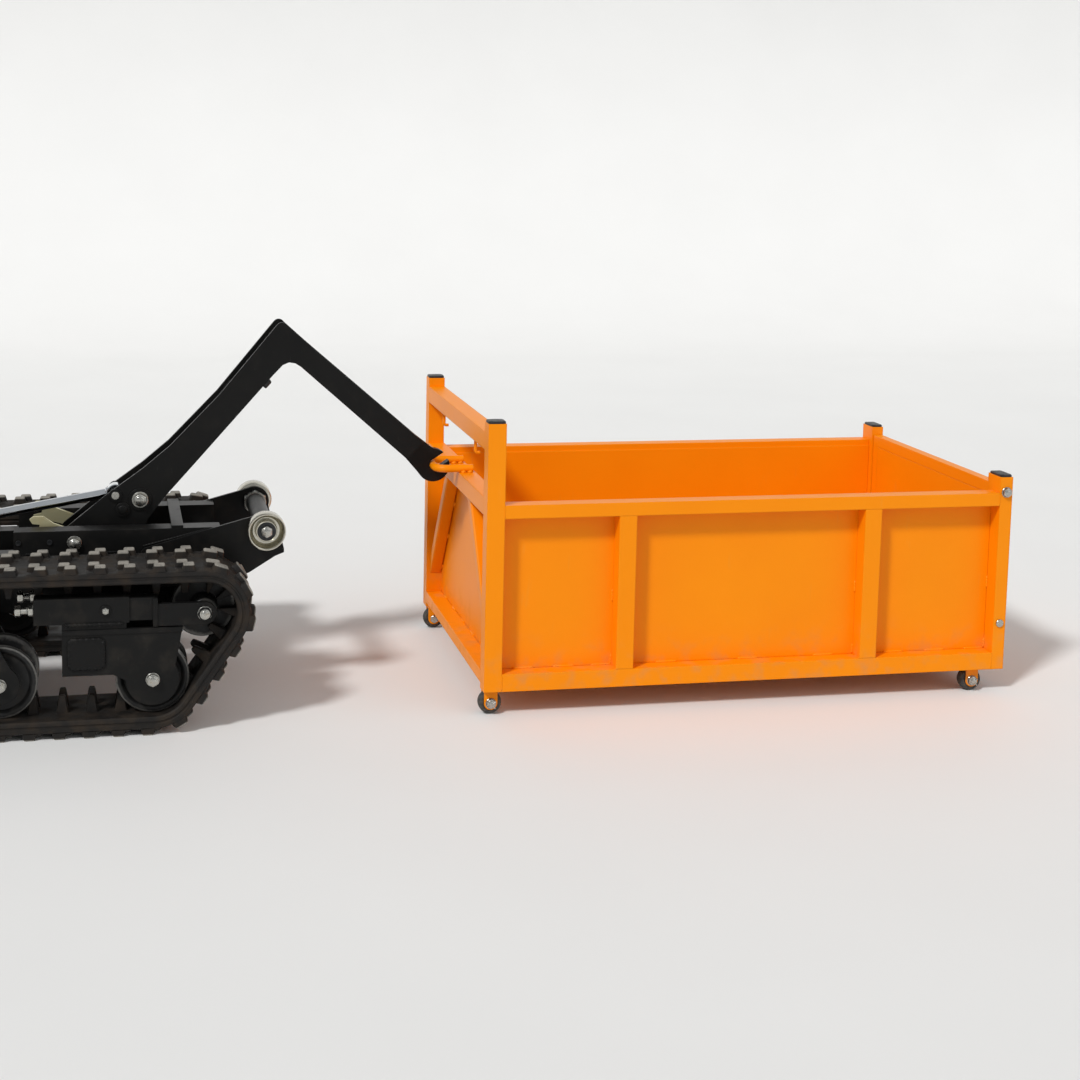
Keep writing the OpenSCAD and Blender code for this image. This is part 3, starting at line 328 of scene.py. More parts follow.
# Post caps: black plastic lids pressed into the open tops of the four posts.
# Each is a flat cushion whose corners and rim are rounded in the mould.
def mottled(colours, cloud, grain, bump, rough, metallic=0.0, radius=None):
    """A recipe of two colours that mingle in clouds under a fine grain. cloud and grain are what
    noise() takes, with the bounds of above() after cloud's if its patches have a border. bump is
    (strength, distance), rough is a value and what cloud and grain add, radius rounds the edges."""
    def recipe(start, place):
        patch = start.noise(place, *cloud[:2])
        if len(cloud) > 2:
            patch = start.above(patch, *cloud[2:])
        fine = start.noise(place, *grain)
        edge = start.rounded(radius) if radius else None
        return {"Base Color": start.tint(patch, *colours), "Metallic": metallic,
                "Roughness": rough[0] + patch * rough[1] + fine * rough[2],
                "Normal": start.bump(fine, *bump, edge)}
    return recipe


plastic = finish("moulded_black_plastic", mottled(
    colours=((0.010, 0.011, 0.012), (0.030, 0.031, 0.032)), cloud=(80.0, 8.0, 0.5, 0.8),
    grain=(1400.0, 3.0), bump=(0.15, 0.0004), rough=(0.42, 0.2, 0)))


def cushion(low, high, power=8.0, rows=14, columns=48):
    """Rounded block between two corners: |x|^p + |y|^p + |z|^p = 1 over longitude and latitude."""
    low, high = np.array([low, high])
    up = np.linspace(-np.pi / 2, np.pi / 2, rows)[:, None]
    turn = np.linspace(0, 2 * np.pi, columns, endpoint=False)
    level = np.cos(up)
    way = np.broadcast_arrays(level * np.cos(turn), level * np.sin(turn), np.sin(up))
    way = np.stack(way, -1)
    way /= (np.abs(way) ** power).sum(-1, keepdims=True) ** (1 / power)
    return ((low + high) / 2 + way * (high - low) / 2).reshape(-1, 3), quads(rows, columns, True)


def sided(side, low, high, *rest):
    """A cushion between two corners given for the left side, mirrored if side is -1."""
    near, far = sorted((side * low[1], side * high[1]))
    return cushion((low[0], near, low[2]), (high[0], far, high[2]), *rest)


caps = []
for side in (-1, 1):
    caps.append(sided(side, (0.5075, 0.3405, 0.6525), (0.5465, outer_y, 0.660), 6))
    caps.append(sided(side, (1.7175, 0.3205, 0.5095), (1.7465, outer_y, 0.517), 6))
put("post_lids", caps, plastic, "container", "post_caps")


# Container wheels: four small wheels of hard rubber, each turning on a bolt between the straps of
# its fork. They are dusty all over, with a moulded ring round the hub.
def lathe(centre, profile, sides=64, facing=1):
    """Surface of revolution about y: a profile of (radius, place along y) in mm, turned round a
    centre in metres."""
    radius, along = np.array(profile).T[..., None] / 1000
    turn = np.linspace(0, -2 * np.pi, sides, endpoint=False) * facing
    ring = np.broadcast_arrays(radius * np.cos(turn), along * facing, radius * np.sin(turn))
    return (np.stack(ring, -1) + centre).reshape(-1, 3), quads(len(radius), sides, True)


tread = finish("dusty_wheel_rubber", mottled(
    colours=((0.028, 0.027, 0.026), (0.085, 0.075, 0.062)), cloud=(120.0, 8.0, 0.35, 0.7),
    grain=(700.0, 4.0), bump=(0.3, 0.0005), rough=(0.62, 0.25, 0)))
wheel_x, wheel_y, wheel_z = {"front": 0.527, "rear": 1.679}, 0.346, 0.026
half = np.array([(6.1, 0), (6.1, 12.5), (10, 13), (10.5, 11), (15.5, 11), (16, 12.2),
                 (19.5, 12.6), (22.2, 12.2), (24.4, 10.5), (25.6, 7), (26, 2.2)])
whole = np.concatenate([half * (1, -1), half[::-1], half[:1] * (1, -1)])
for end, x in wheel_x.items():
    for side, y in (("right", -wheel_y), ("left", wheel_y)):
        body = f"caster_{end}_{side}"
        put(f"wheel_{end}_{side}", [lathe((x, y, wheel_z), whole)], tread, body, body)


# Fasteners of the container: zinc-plated wheel bolts with washers, nuts and split pins, hinge bolts
# at the tailgate's top corners and lock studs near its foot. Nuts are chamfered as they are forged.
def zinc_plate(start, place):
    cloud = start.noise(place, 240.0, 6.0)
    spots = start.above(start.noise(place, 90.0, 8.0), 0.56, 0.72)
    scratch = start.noise(place, 800.0, 3.0, (1, 0.1, 1))
    # Painted shade: ambient occlusion darkens the zinc, and dulls it, in the crevices round nuts
    # and washers.
    open_air = start.node("AmbientOcclusion", {"samples": 8}, {"Distance": 0.006}, 1)
    crevice_shade = 1 - start.above(open_air, 0.40, 0.85)
    bright = start.tint(cloud, (0.34, 0.335, 0.31), (0.62, 0.61, 0.56))
    bright = start.tint(spots * 0.6, bright, (0.30, 0.26, 0.19))
    return {"Base Color": start.tint(crevice_shade * 0.9, bright, (0.022, 0.020, 0.018)),
            "Metallic": (1 - spots * 0.45) * (1 - crevice_shade * 0.7),
            "Roughness": 0.20 + cloud * 0.14 + spots * 0.25 + crevice_shade * 0.3,
            "Normal": start.bump(scratch, 0.2, 0.0003)}


zinc = finish("zinc_plated_steel", zinc_plate)


def hexagon(centre, flats, start, end, facing=1, bore=0.0):
    """Nut along y: a six-sided ring whose corners are cut by a 30 degree cone at both faces. Sizes
    are in mm, as in stud() and disc()."""
    steps, chamfer = 72, 0.58
    flats, start, end, bore = (size / 1000 for size in (flats, start, end, bore))
    turn = np.linspace(0, 2 * np.pi, steps, endpoint=False)
    reach = flats / 2 / np.cos((turn + np.pi / 6) % (np.pi / 3) - np.pi / 6)
    cut = np.maximum(reach - flats * 0.5, 0) * chamfer + 0.0007
    crown, inner, low, high = (np.full(steps, size) for size in (flats * 0.46, bore, start, end))
    rows = [(inner, low), (crown, low), (reach, start + cut), (reach, end - cut), (crown, high),
            (inner, high), (inner, low)]
    points = [np.stack([radius * np.cos(turn), along * facing, radius * np.sin(-turn) * facing], -1)
              for radius, along in rows]
    return np.concatenate(points) + centre, quads(len(rows), steps, True)


def stud(centre, radius, start, end, facing=1):
    """Bolt along y: the last 12 mm rise and fall with a 1.75 mm pitch, and the tip is chamfered."""
    depth, pitch, chamfer = 0.5, 1.75, 1.5
    along = np.append(start, np.linspace(max(start + 0.5, end - 12), end - 1, 24))
    wave = 0.5 + 0.5 * np.cos((along - end) / pitch * 2 * np.pi)
    thread = radius - depth * wave * (along > start)
    profile = [(0, start), *zip(thread, along), (radius - chamfer, end), (0, end)]
    return lathe(centre, profile, 32, facing)


def disc(centre, radius, start, end, facing=1, bore=0.0):
    """Washer along y with its rim rounded off."""
    rim = 0.6
    profile = [(bore, start), (radius - rim, start), (radius, start + rim), (radius, end - rim),
               (radius - rim, end), (bore, end), (bore, start)]
    return lathe(centre, profile, 48, facing)


m12, m12_flats, m12_washer = 6, 19, 12
hinge, lock = (1.732, 0, 0.476), (1.732, 0, 0.166)
pin = np.linspace(-1, 1, 9)[:, None]
fixings = []
for side in (-1, 1):
    for x in wheel_x.values():
        axle = (x, side * wheel_y, wheel_z)
        fixings += [stud(axle, m12, -23.5, 26.5, side),
                    disc(axle, m12_washer, 17.1, 19.4, side),
                    hexagon(axle, m12_flats, 19.3, 25, side),
                    hexagon(axle, m12_flats, 17.1, 23, -side)]
        tip = np.array([x, side * (wheel_y + 0.0252), wheel_z])
        for leg in ((0.0085, 0, -0.010), (0.0095, 0, 0.006)):
            fixings.append(tube(tip + pin * leg + np.abs(pin) * (0, side * 0.001, 0), 0.0011, 6))
    fixings += [stud(hinge, m12, 300, 390, side), disc(hinge, m12_washer, 380, 382.5, side),
                hexagon(hinge, m12_flats, 382.4, 389, side),
                stud(lock, m12, 319, 382.5, side), disc(lock, 9, 380, 383.5, side)]
put("container_fixings", fixings, zinc, "container", "container_bolts")


# Rubber tracks: endless moulded belts with two rows of stepped lugs outside and two rows of guide
# teeth inside, run round sprocket, rollers and idler. Lug tops are scuffed grey, hollows hold dust.
def track_rubber(start, place):
    cloud = start.noise(place, 30.0, 8.0)
    fine = start.noise(place, 420.0, 5.0)
    grit = 0.55 + start.above(fine + cloud, 0.75, 1.15) * 0.45
    scuff = start.above(start.wear_and_painted_light(), 0.80, 0.95) * grit
    dust = start.above(cloud, 0.38, 0.72)
    base = start.tint(dust, (0.0085, 0.0072, 0.0062), (0.028, 0.020, 0.0135))
    return {"Base Color": start.tint(scuff, base, (0.29, 0.270, 0.235)),
            "Roughness": 0.58 + dust * 0.25 + scuff * 0.08, "Specular IOR Level": 0.28,
            "Normal": start.bump(fine, 0.35, 0.0008)}


rubber = finish("dusty_track_rubber", track_rubber)
tracks = (("right", -0.300), ("left", 0.300))
links, roller_xs, roller_z, idler_x, idler_z = 40, (-0.209, -0.524, -0.839), 0.118, -0.100, 0.258
# x, z and the belt's inner radius at the sprocket, the last roller, the first one and the idler
wheels = np.array([[-0.993, idler_z, 0.069], [roller_xs[2], roller_z, 0.078],
                   [roller_xs[0], roller_z, 0.078], [idler_x, idler_z, 0.069]])
onward = np.roll(wheels, -1, 0)
span = onward[:, :2] - wheels[:, :2]
apart = np.linalg.norm(span, axis=1)
lean = np.arctan2(span[:, 1], span[:, 0]) - np.arccos((wheels[:, 2] - onward[:, 2]) / apart)
sweep = (lean - np.roll(lean, 1)) % (2 * np.pi)
belt_middle = 0.013
arcs = (wheels[:, 2] + belt_middle) * sweep
runs = np.sqrt(apart**2 - (wheels[:, 2] - onward[:, 2]) ** 2)
marks = np.concatenate([[0], np.cumsum(np.stack([arcs, runs], 1).ravel())])
link = marks[-1] / links


def on_belt(along, up):
    """Point in x and z at a length along the loop and a height over its inner face: arcs round the
    wheels, joined by straight runs that touch two neighbouring wheels."""
    along = along % marks[-1]
    stretch = np.clip(np.searchsorted(marks, along, side="right") - 1, 0, 7)
    wheel = stretch // 2
    rest = along - marks[stretch]
    straight = stretch % 2 == 1
    angle = np.where(straight, lean[wheel], lean[wheel - 1] + sweep[wheel] * rest / arcs[wheel])
    ahead = np.where(straight, rest, 0)
    radius = wheels[wheel, 2] + up
    return (wheels[wheel, 0] + radius * np.cos(angle) - ahead * np.sin(angle),
            wheels[wheel, 1] + radius * np.sin(angle) + ahead * np.cos(angle))


def belt_band(y):
    """Closed section of the belt carried round the loop: flat faces, a groove along each edge."""
    half = np.array([(86, 0), (89.5, 3), (90, 9), (87.8, 10.5), (87.8, 14.5), (90, 16),
                     (89.5, 23.5), (87, 26), (34, 26), (30, 24.5)]) / 1000
    section = np.concatenate([half, (half * (-1, 1))[::-1]])
    steps = 480
    along = np.linspace(0, marks[-1], steps, endpoint=False)
    along, across = np.meshgrid(along, section[:, 0], indexing="ij")
    x, z = on_belt(along, np.broadcast_to(section[:, 1], along.shape))
    points = np.stack([x, across + y, z], -1)
    points = np.concatenate([points, points[:1]])
    return points.reshape(-1, 3), quads(steps + 1, len(section), True)[:, ::-1]


block_rows = np.array([0, 0, 0.9, 1.0, 1.0])


def blocks(y, centre, size, inset, feet, top):
    """One block per link: a rectangle with cut corners on the belt, drawn in towards its top.
    centre and size are (along, across); inset is how much each half size shrinks on the way up."""
    turn = np.array([(1, 0.8), (0.8, 1), (-0.8, 1), (-1, 0.8),
                     (-1, -0.8), (-0.8, -1), (0.8, -1), (1, -0.8)])
    to_a_point = 99
    shrink = np.array([to_a_point, 0, 1.0, 1.3, to_a_point])
    half = np.clip(np.array(size) / 2 - shrink[:, None] * np.array(inset), 0, None)
    plan = np.array(centre) + turn[None] * half[:, None]
    height = feet + block_rows[:, None] * (top - feet) + 0 * plan[..., 0]
    along = plan[None, ..., 0] + (np.arange(links) * link)[:, None, None]
    x, z = on_belt(along, np.broadcast_to(height, along.shape))
    points = np.stack([x, np.broadcast_to(plan[..., 1] + y, along.shape), z], -1).reshape(-1, 3)
    face = quads(len(shrink), len(turn), True)
    if top > feet:
        face = face[:, ::-1]
    first = np.arange(links) * plan[..., 0].size
    return points, (face[None] + first[:, None, None]).reshape(-1, 4)


belt_face, lug_step, lug_top, tooth_tip = 0.025, 0.029, 0.040, -0.036
for side, y in tracks:
    shapes = [belt_band(y)]
    for row in (-1, 1):
        for along, across in ((-0.006, 0.0745), (0.007, 0.048)):
            centre, inset = (along, row * across), (0.0045, 0.0012)
            shapes.append(blocks(y, centre, (0.032, 0.0275), inset, belt_face, lug_top))
        centre, inset = (0.001, row * 0.062), (0.006, 0.003)
        shapes.append(blocks(y, centre, (0.050, 0.054), inset, belt_face, lug_step))
        centre, inset = (0, row * 0.024), (0.006, 0.002)
        shapes.append(blocks(y, centre, (0.026, 0.020), inset, 0.001, tooth_tip))
    top = np.tile(np.repeat(block_rows, 8), links)
    shade = [np.zeros(len(shapes[0][0]))] + [top, top, top * 0.1, top * 0.25] * 2
    shade = np.concatenate(shade)
    put(f"{side}_track_belt", shapes, rubber, "chassis", f"{side}_track", wear_and_painted_light=shade)


# Road rollers and idlers: pressed double discs outside the guide teeth, and a narrow wheel between
# them at the idler, painted black. The belt polishes their rims bright, and dust lies in the dish.
def roller_paint(start, place):
    cloud = start.noise(place, 45.0, 8.0)
    streak = start.noise(place, 260.0, 4.0)
    bare = start.above(start.wear_and_painted_light() * 1.2 + cloud * 0.35 + streak * 0.25, 1.02, 1.25)
    dust = start.above(cloud, 0.42, 0.75)
    base = start.tint(dust, (0.009, 0.009, 0.009), (0.024, 0.022, 0.019))
    return {"Base Color": start.tint(bare, base, (0.15, 0.145, 0.135)), "Metallic": bare * 0.8,
            "Roughness": 0.46 + dust * 0.25 - bare * 0.05, "Specular IOR Level": 0.3,
            "Normal": start.bump(streak, 0.15, 0.0005)}


rolled = finish("black_roller_paint", roller_paint)
double_disc = [(10.1, -67.5), (22, -67.5), (24, -65.5), (24, -50), (27, -47), (45.2, -45),
               (60.2, -47.2), (65.2, -54.5), (68.2, -56), (75.2, -56), (77.2, -54.5),
               (77.2, -37.5), (75.2, -36), (27, -36), (24, -33)]
narrow_wheel = [(10.1, -65.5), (26, -65.5), (28, -63.5), (28, -17), (31, -13), (66.2, -13),
                (68.2, -11)]
for side, y in tracks:
    places = [(f"road_roller_{side}_{number}", (x, y, roller_z), double_disc)
              for number, x in enumerate(roller_xs, 1)]
    for name, axle, half in places + [(f"idler_{side}", (idler_x, y, idler_z), narrow_wheel)]:
        half = np.array(half)
        section = np.concatenate([half, half[::-1] * (1, -1), half[:1]])
        inside = section[:, 0].max() - section[:, 0]
        wear = np.repeat(np.clip((12 - inside) / 10, 0, 1) * 0.8, 96)
        put(f"{name}_wheel", [lathe(axle, section, 96)], rolled, name, name, wear_and_painted_light=wear)

# Idler axle ends: a zinc bolt head with a broad washer outside each arm of the tensioner's fork.
# They slide with the fork when the belt is tightened.
for side, y in tracks:
    ends = []
    axle = (idler_x, y, idler_z)
    for facing in (-1, 1):
        ends += [disc(axle, 15.5, 77.5, 80, facing),
                 hexagon(axle, 23, 79.8, 87.2, facing), stud(axle, 8, 86, 90.5, facing)]
    put(f"idler_axle_{side}", ends, zinc, f"yoke_{side}")


# Chassis and hook arm: cut, bent and welded steel plate and square tube in satin black powder coat.
# The coat is rubbed in patches, clouded by handling and dusty near the ground.
black = finish("black_powder_coat", powder_coat(
    colours=((0.005, 0.005, 0.005), (0.0085, 0.0084, 0.0079)), cloud=9.0, peel=800.0,
    bump=(0.08, 0.0005), radius=0.0022, low=(0.1, 0.5), dust=(0.25, 22.0, 9.0, 0.48, 0.8),
    dirt=(0.16, (0.090, 0.074, 0.056)), rub=(130.0, 7.0, (1, 1, 0.3)),
    bare=(0.12, (0.060, 0.059, 0.057)), rough=(0.31, 0.10, 0.28, 0), specular=0.16))
coat(black, "main_frame", "cross_tubes", "side_plates", "tensioner_tubes", "roller_brackets",
     "cylinder_bracket", "arm_cheeks", "arm_webs", "jib_hook", "idler_yoke_right",
     "idler_yoke_left", "engine_deck")

# Weld seams and closing plates of the chassis: fillets round the cross tubes' capped ends, runs
# along the tensioner tubes' seats and the folded top flange of the front side plates.
tube_end, tube_low, tube_high, tube_half = 0.3765, 0.148, 0.210, 0.035
track_y, clamp_x, clamp_y, screw_z = 0.300, -0.306, 0.378, 0.2715
seams = []
for side in (-1, 1):
    for x in (-0.346, -0.6815):
        left, right, face = x - tube_half, x + tube_half, side * tube_end
        ring = [(left, tube_low), (right, tube_low), (right, tube_high), (left, tube_high)]
        for (x0, z0), (x1, z1) in zip(ring, ring[1:] + ring[:1]):
            seams.append(stitch((x0, face, z0), (x1, face, z1), 0.0052))
        low, high = (left, tube_end - 0.006, tube_low), (right, tube_end + 0.004, tube_high)
        seams.append(sided(side, low, high, 12, 18, 64))
    for y in (side * track_y - 0.0787, side * track_y + 0.0787):
        seams.append(stitch((-0.392, y, 0.243), (-0.268, y, 0.243), 0.0042))
    seams.append(disc((clamp_x, side * clamp_y, screw_z), 11.5, -1, 3.5, side))
    seams.append(sided(side, (-0.3955, 0.3745, 0.2195), (-0.1465, 0.3785, 0.231), 10, 14, 64))
    y = side * 0.1465
    seams.append(stitch((-0.226, y, 0.352), (-0.075, y, 0.389)))
    y = side * 0.1462
    for x in (-0.48, -0.40, -0.32):
        seams.append(stitch((x, y, 0.341), (x + 0.04, y, 0.341)))
put("chassis_weld_seams", seams, black, "chassis")

# Fork flanges: the plates that close the sliders of each idler fork, standing a little above its
# arms. They are welded to the fork and slide with it.
for side, y in tracks:
    plates = []
    for arm in (y - 0.064, y + 0.064):
        low, high = (-0.2085, arm - 0.0175, 0.2325), (-0.1975, arm + 0.0175, 0.295)
        plates.append(cushion(low, high, 14, 18, 48))
    put(f"fork_flanges_{side}", plates, black, f"yoke_{side}")

# Weld seams of the hook arm: stitches where the webs close the box between the two cheeks, up the
# arm and down the jib. They are painted with the arm.
edges = [((-0.1015, 0.601), (0.194, 0.225), (0.020, 0.022), (0.08, 0.34, 0.60, 0.84)),
         ((0.273, 0.676), (0.12, -0.103), (0.022, -0.019), (0.1, 0.45, 0.8))]
seams = []
for y in (-0.0357, 0.0357):
    for (x, z), (run_x, run_z), (bead_x, bead_z), shares in edges:
        for share in shares:
            a = np.array([x + share * run_x, y, z + share * run_z])
            seams.append(stitch(a, a + np.array([bead_x, 0, bead_z]), 0.0025))
put("arm_weld_seams", seams, black, "hook_arm")

# Arm bumper: a rubber block bolted under the elbow, which cushions the arm when it is folded.
# It follows the slope of the arm's lower edge.
slope, out = np.array([0.663, 0, 0.749]), np.array([0.749, 0, -0.663])
block, block_faces = cushion((-0.011, -0.030, -0.010), (0.011, 0.030, 0.011), 7, 20, 48)
block = block[:, :1] * slope + block[:, 1:2] * (0, -1, 0) + block[:, 2:] * out
block = (0.0574, 0, 0.6993) + block
put("arm_bumper", [(block, block_faces)], plastic, "hook_arm")

# Guide rollers: turned steel cups, zinc plated, on ball bearings beside the rear brackets.
# The container's runners roll on them, so their treads are rubbed bright.
turned = finish("turned_zinc_plate", mottled(
    colours=((0.46, 0.435, 0.36), (0.66, 0.64, 0.56)), cloud=(40.0, 4.0),
    grain=(900.0, 3.0, (0.3, 1, 0.3)), bump=(0.06, 0.0002), rough=(0.16, 0.12, 0), metallic=1.0))
guide_x, guide_y, guide_z = 0.047, 0.158, 0.387
hub = [(10.05, 0), (38.5, 0), (41.5, 1.2), (42.5, 4), (42.5, 33.5), (41.8, 35.4), (40, 36),
       (38, 35.2), (36.5, 32), (32, 18), (30, 15.5), (24.5, 15), (23.5, 16.5), (23.5, 27.5),
       (22.5, 28.5), (21.2, 28.5), (21, 25.5), (12.5, 25.5), (12, 28), (10.05, 28), (10.05, 0)]
seal = [(12.2, 25.2), (20.9, 25.2), (20.9, 26.4), (16.5, 27.2), (12.2, 26.4), (12.2, 25.2)]
for side, facing in (("right", -1), ("left", 1)):
    name, place = f"guide_roller_{side}", (guide_x, facing * guide_y, guide_z)
    put(f"{name}_cup", [lathe(place, hub, 96, facing)], turned, name, name)
    put(f"{name}_seal", [lathe(place, seal, 64, facing)], plastic, name)

# Fasteners of the chassis: roller axle bolts with washers and nuts, tension screws with their lock
# nuts, guide roller axle bolts and the lock hooks' pivot bolts, all zinc plated.
def aimed(shape, place):
    """A shape drawn along y, turned to run along -x and moved to its place."""
    points, faces = shape
    return points[:, [1, 0, 2]] * (-1, 1, 1) + place, faces


origin = (0, 0, 0)
guide, lock, axle_tube = (guide_x, 0, guide_z), (-0.373, 0, 0.364), 21.5
axle_flats, screw_flats = 23.5, 22.5
bolts = []
for side in (-1, 1):
    for x in roller_xs:
        axle = (x, side * track_y, roller_z)
        bolts += [stud(axle, 10, -85.5, 91, side), disc(axle, 15, 76, 78.5, side),
                  hexagon(axle, axle_flats, 78.3, 87.2, side),
                  hexagon(axle, axle_flats, 76, 85.5, -side)]
    for offset in (-0.058, 0.058):
        for shape in (stud(origin, 8, -20, 40), hexagon(origin, screw_flats, 0, 12),
                      hexagon(origin, screw_flats, 26, 39)):
            bolts.append(aimed(shape, (-0.453, side * track_y + offset, screw_z)))
    clamp = (clamp_x, side * clamp_y, screw_z)
    bolts += [hexagon(clamp, 13, 3, 7.5, side), stud(clamp, 4.5, 7, 10, side),
              stud(guide, 10, 134, 196.5, side), hexagon(guide, 23, 186.7, 194.5, side),
              disc(guide, 15, 154, 157.7, side),
              disc(guide, 26.2, 122.5, 128.5, side, axle_tube),
              hexagon(guide, 50, 128.3, 145.8, side, axle_tube),
              stud(lock, 8, 68, 160, side), disc(lock, 16, 146, 149, side),
              hexagon(lock, 20.8, 148.8, 157, side)]
put("chassis_fixings", bolts, zinc, "chassis", "chassis_bolts")
socket = [(0, 146), (5.8, 146), (5.8, 149), (5.2, 149.8), (2.8, 149.5), (2.8, 148.5), (0, 148.5)]
sockets = [lathe((x, 0, 0.367), socket, 32, side) for side in (-1, 1) for x in (-0.493, -0.426)]
put("rail_screws", sockets, plastic, "chassis")
coat(zinc, "pivot_shaft")

# Arm pins: the rod pin's bright end in a black collar, a black plug bolt below it and a large zinc
# bolt with washer and nut through both cheeks.
rod_pin, plug, tie = (-0.283, 0, 0.448), (-0.267, 0, 0.415), (-0.228, 0, 0.437)
pins, collars = [], []
for side in (-1, 1):
    pins += [disc(rod_pin, 8.8, 36.5, 52, side), disc(tie, 18.5, 47, 49.7, side),
             hexagon(tie, 25.8, 49.5, 59, side), stud(tie, 10, 2, 62, side)]
    collars += [disc(rod_pin, 15, 44, 49.5, side, 9),
                disc(plug, 16, 44, 49.5, side), hexagon(plug, 19, 49, 53.5, side),
                disc(tie, 26, 44, 47.5, side, 10.1)]
put("arm_pins", pins, zinc, "hook_arm", "arm_bolts")
put("arm_pin_collars", collars, black, "hook_arm")


# Lift cylinder: a black barrel with welded ports and a screwed gland, and a hard-chromed rod with
# fine drawing marks, coloured bright along its top and painted dark along its underside as shade.
def hard_chrome(start, place):
    drawn = start.noise(place, 500.0, 3.0, (1, 1, 0.2))
    oil = start.noise(place, 25.0, 4.0)
    bright = start.tint(oil, (0.66, 0.70, 0.74), (0.84, 0.86, 0.88))
    # Painted light and shade: the rod is coloured bright along its top and dark along its
    # underside.
    lit_top_share = start.above(start.wear_and_painted_light(), 0.30, 0.62)
    return {"Base Color": start.tint(lit_top_share, (0.035, 0.040, 0.046), bright), "Metallic": 1.0,
            "Roughness": 0.07 + oil * 0.08, "Normal": start.bump(drawn, 0.04, 0.0002)}


chrome = finish("hard_chrome", hard_chrome)
tilt = math.radians(9.9)
lean_x, lean_z = math.cos(tilt), math.sin(tilt)
base = np.array([-0.873, 0, 0.34503])
reach, rod_r, piston_r = np.linalg.norm(np.array(rod_pin) - base) * 1000, 11, 21.8
bar = [(0, 242), (piston_r, 242), (piston_r, 268), (rod_r, 268.5), (rod_r, 300), (rod_r, 450),
       (rod_r, reach - 22), (13.5, reach - 20), (13.5, reach - 12), (0, reach - 12)]
points, faces = lathe(origin, bar, 64)
over, along, across = points[:, :1], points[:, 1:2], points[:, 2:]
# Painted light and shade: each point's share of bright colour, 1 on the rod's top and 0 on its
# underside; the eye is all bright.
painted_light_share = 0.5 + 0.5 * over / np.maximum(np.hypot(over, across), 1e-6)
points = base + along * (lean_x, 0, lean_z) + over * (-lean_z, 0, lean_x) + across * (0, 1, 0)
half = np.array([(0, -35), (8.8, -35), (8.8, -15), (17.5, -15), (19, -13.5)])
eye = lathe(rod_pin, np.concatenate([half, half[::-1] * (1, -1)]), 64)
put("chromed_rod", [(points, faces), eye], chrome, "rod", "cylinder_rod",
    wear_and_painted_light=np.concatenate([painted_light_share[:, 0], np.ones(len(eye[0]))]))
coat(black, "cylinder_barrel", "cylinder_gland")


# Lock hooks: flame-cut plates, yellow zinc plated, that swing up to hold the stowed container.
# The plating shifts from straw to pale green over each plate.
yellow = finish("yellow_zinc_plate", mottled(
    colours=((0.62, 0.52, 0.26), (0.66, 0.66, 0.46)), cloud=(35.0, 5.0), grain=(300.0, 4.0),
    bump=(0.12, 0.0004), rough=(0.34, 0, 0.15), metallic=0.75))
coat(yellow, "lock_hooks")


# Drive ends: the toothed wheels that pull the belts and the hydraulic motors beside them.
# They are iron castings, left grey, with a sandy skin and oil stains.
iron = finish("sand_cast_iron", mottled(
    colours=((0.105, 0.102, 0.098), (0.040, 0.034, 0.029)), cloud=(28.0, 7.0, 0.45, 0.75),
    grain=(520.0, 6.0), bump=(0.35, 0.0006), rough=(0.52, 0.15, 0), metallic=0.55, radius=0.003))
coat(iron, "sprocket_right", "sprocket_left", "final_drive")


# Engine: a small air-cooled single cylinder of die-cast aluminium, bolted to the deck.
# Its castings have a fine blasted skin, with cover screws round the crankcase's side.
aluminium = finish("die_cast_aluminium", mottled(
    colours=((0.40, 0.40, 0.39), (0.22, 0.21, 0.19)), cloud=(18.0, 7.0, 0.46, 0.78),
    grain=(900.0, 4.0), bump=(0.18, 0.0004), rough=(0.40, 0.15, 0.12), metallic=0.8, radius=0.0025))
coat(aluminium, "engine_block", "control_valve")
engine_x, engine_y, deck_z = -1.303, -0.1, 0.347
screws = []
for x in (engine_x - 0.082, engine_x, engine_x + 0.082):
    for z in (0.362, 0.482):
        screws += [disc((x, engine_y, z), 9.5, -1, 3, -1),
                   hexagon((x, engine_y, z), 12, 2.8, 8, -1)]
put("crankcase_screws", screws, zinc, "chassis")

# Fan housing: a moulded plastic cowl over the flywheel with a slotted face, and the pull-start's
# grip parked in its rim.
coat(plastic, "engine_shroud")
grip = [cushion((-1.249, 0.142, 0.519), (-1.205, 0.160, 0.534), 4, 16, 40)]
rings = [(0, 160), (21, 160), (20, 162.5), (17, 164), (0, 164)]
grip.append(lathe((engine_x, 0, 0.447), rings, 48))
put("starter_grip", grip, plastic, "chassis")

# Air cleaner: a moulded box bolted to the inlet, whose crowned cover is clamped by a ribbed knob.
# A groove parts cover and base, and low ribs stiffen the cover's face.
cleaner = [cushion((-1.4165, -0.060, 0.467), (-1.3975, 0.060, 0.571), 12, 20, 64),
           cushion((-1.458, -0.059, 0.468), (-1.415, 0.059, 0.570), 7, 32, 96)]
for y in (-0.040, -0.028, 0.028, 0.040):
    cleaner.append(cushion((-1.460, y - 0.002, 0.482), (-1.450, y + 0.002, 0.556), 5, 14, 32))
profile = [(0, -4), (12.5, -4), (12.5, 9), (10.75, 11.5), (0, 11.5)]
knob, knob_faces = lathe(origin, profile, 72)
ribs = np.tile(1 + 0.096 * np.cos(np.arange(72) * np.pi / 3), len(profile))
knob = knob * np.stack([ribs, np.ones(len(ribs)), ribs], -1)
cleaner.append(aimed((knob, knob_faces), (-1.457, 0, 0.519)))
put("air_cleaner", cleaner, plastic, "chassis", "air_filter")


# Fuel tank: blow-moulded orange plastic on four legs over the cylinder head, closed by a ribbed
# cap. The moulding has soft corners, a faint satin skin and a parting line round its middle.
def raised(shape, place):
    """A shape drawn along y, stood up to run along z and moved to its place."""
    points, faces = shape
    return points[:, [0, 2, 1]] * (1, -1, 1) + place, faces


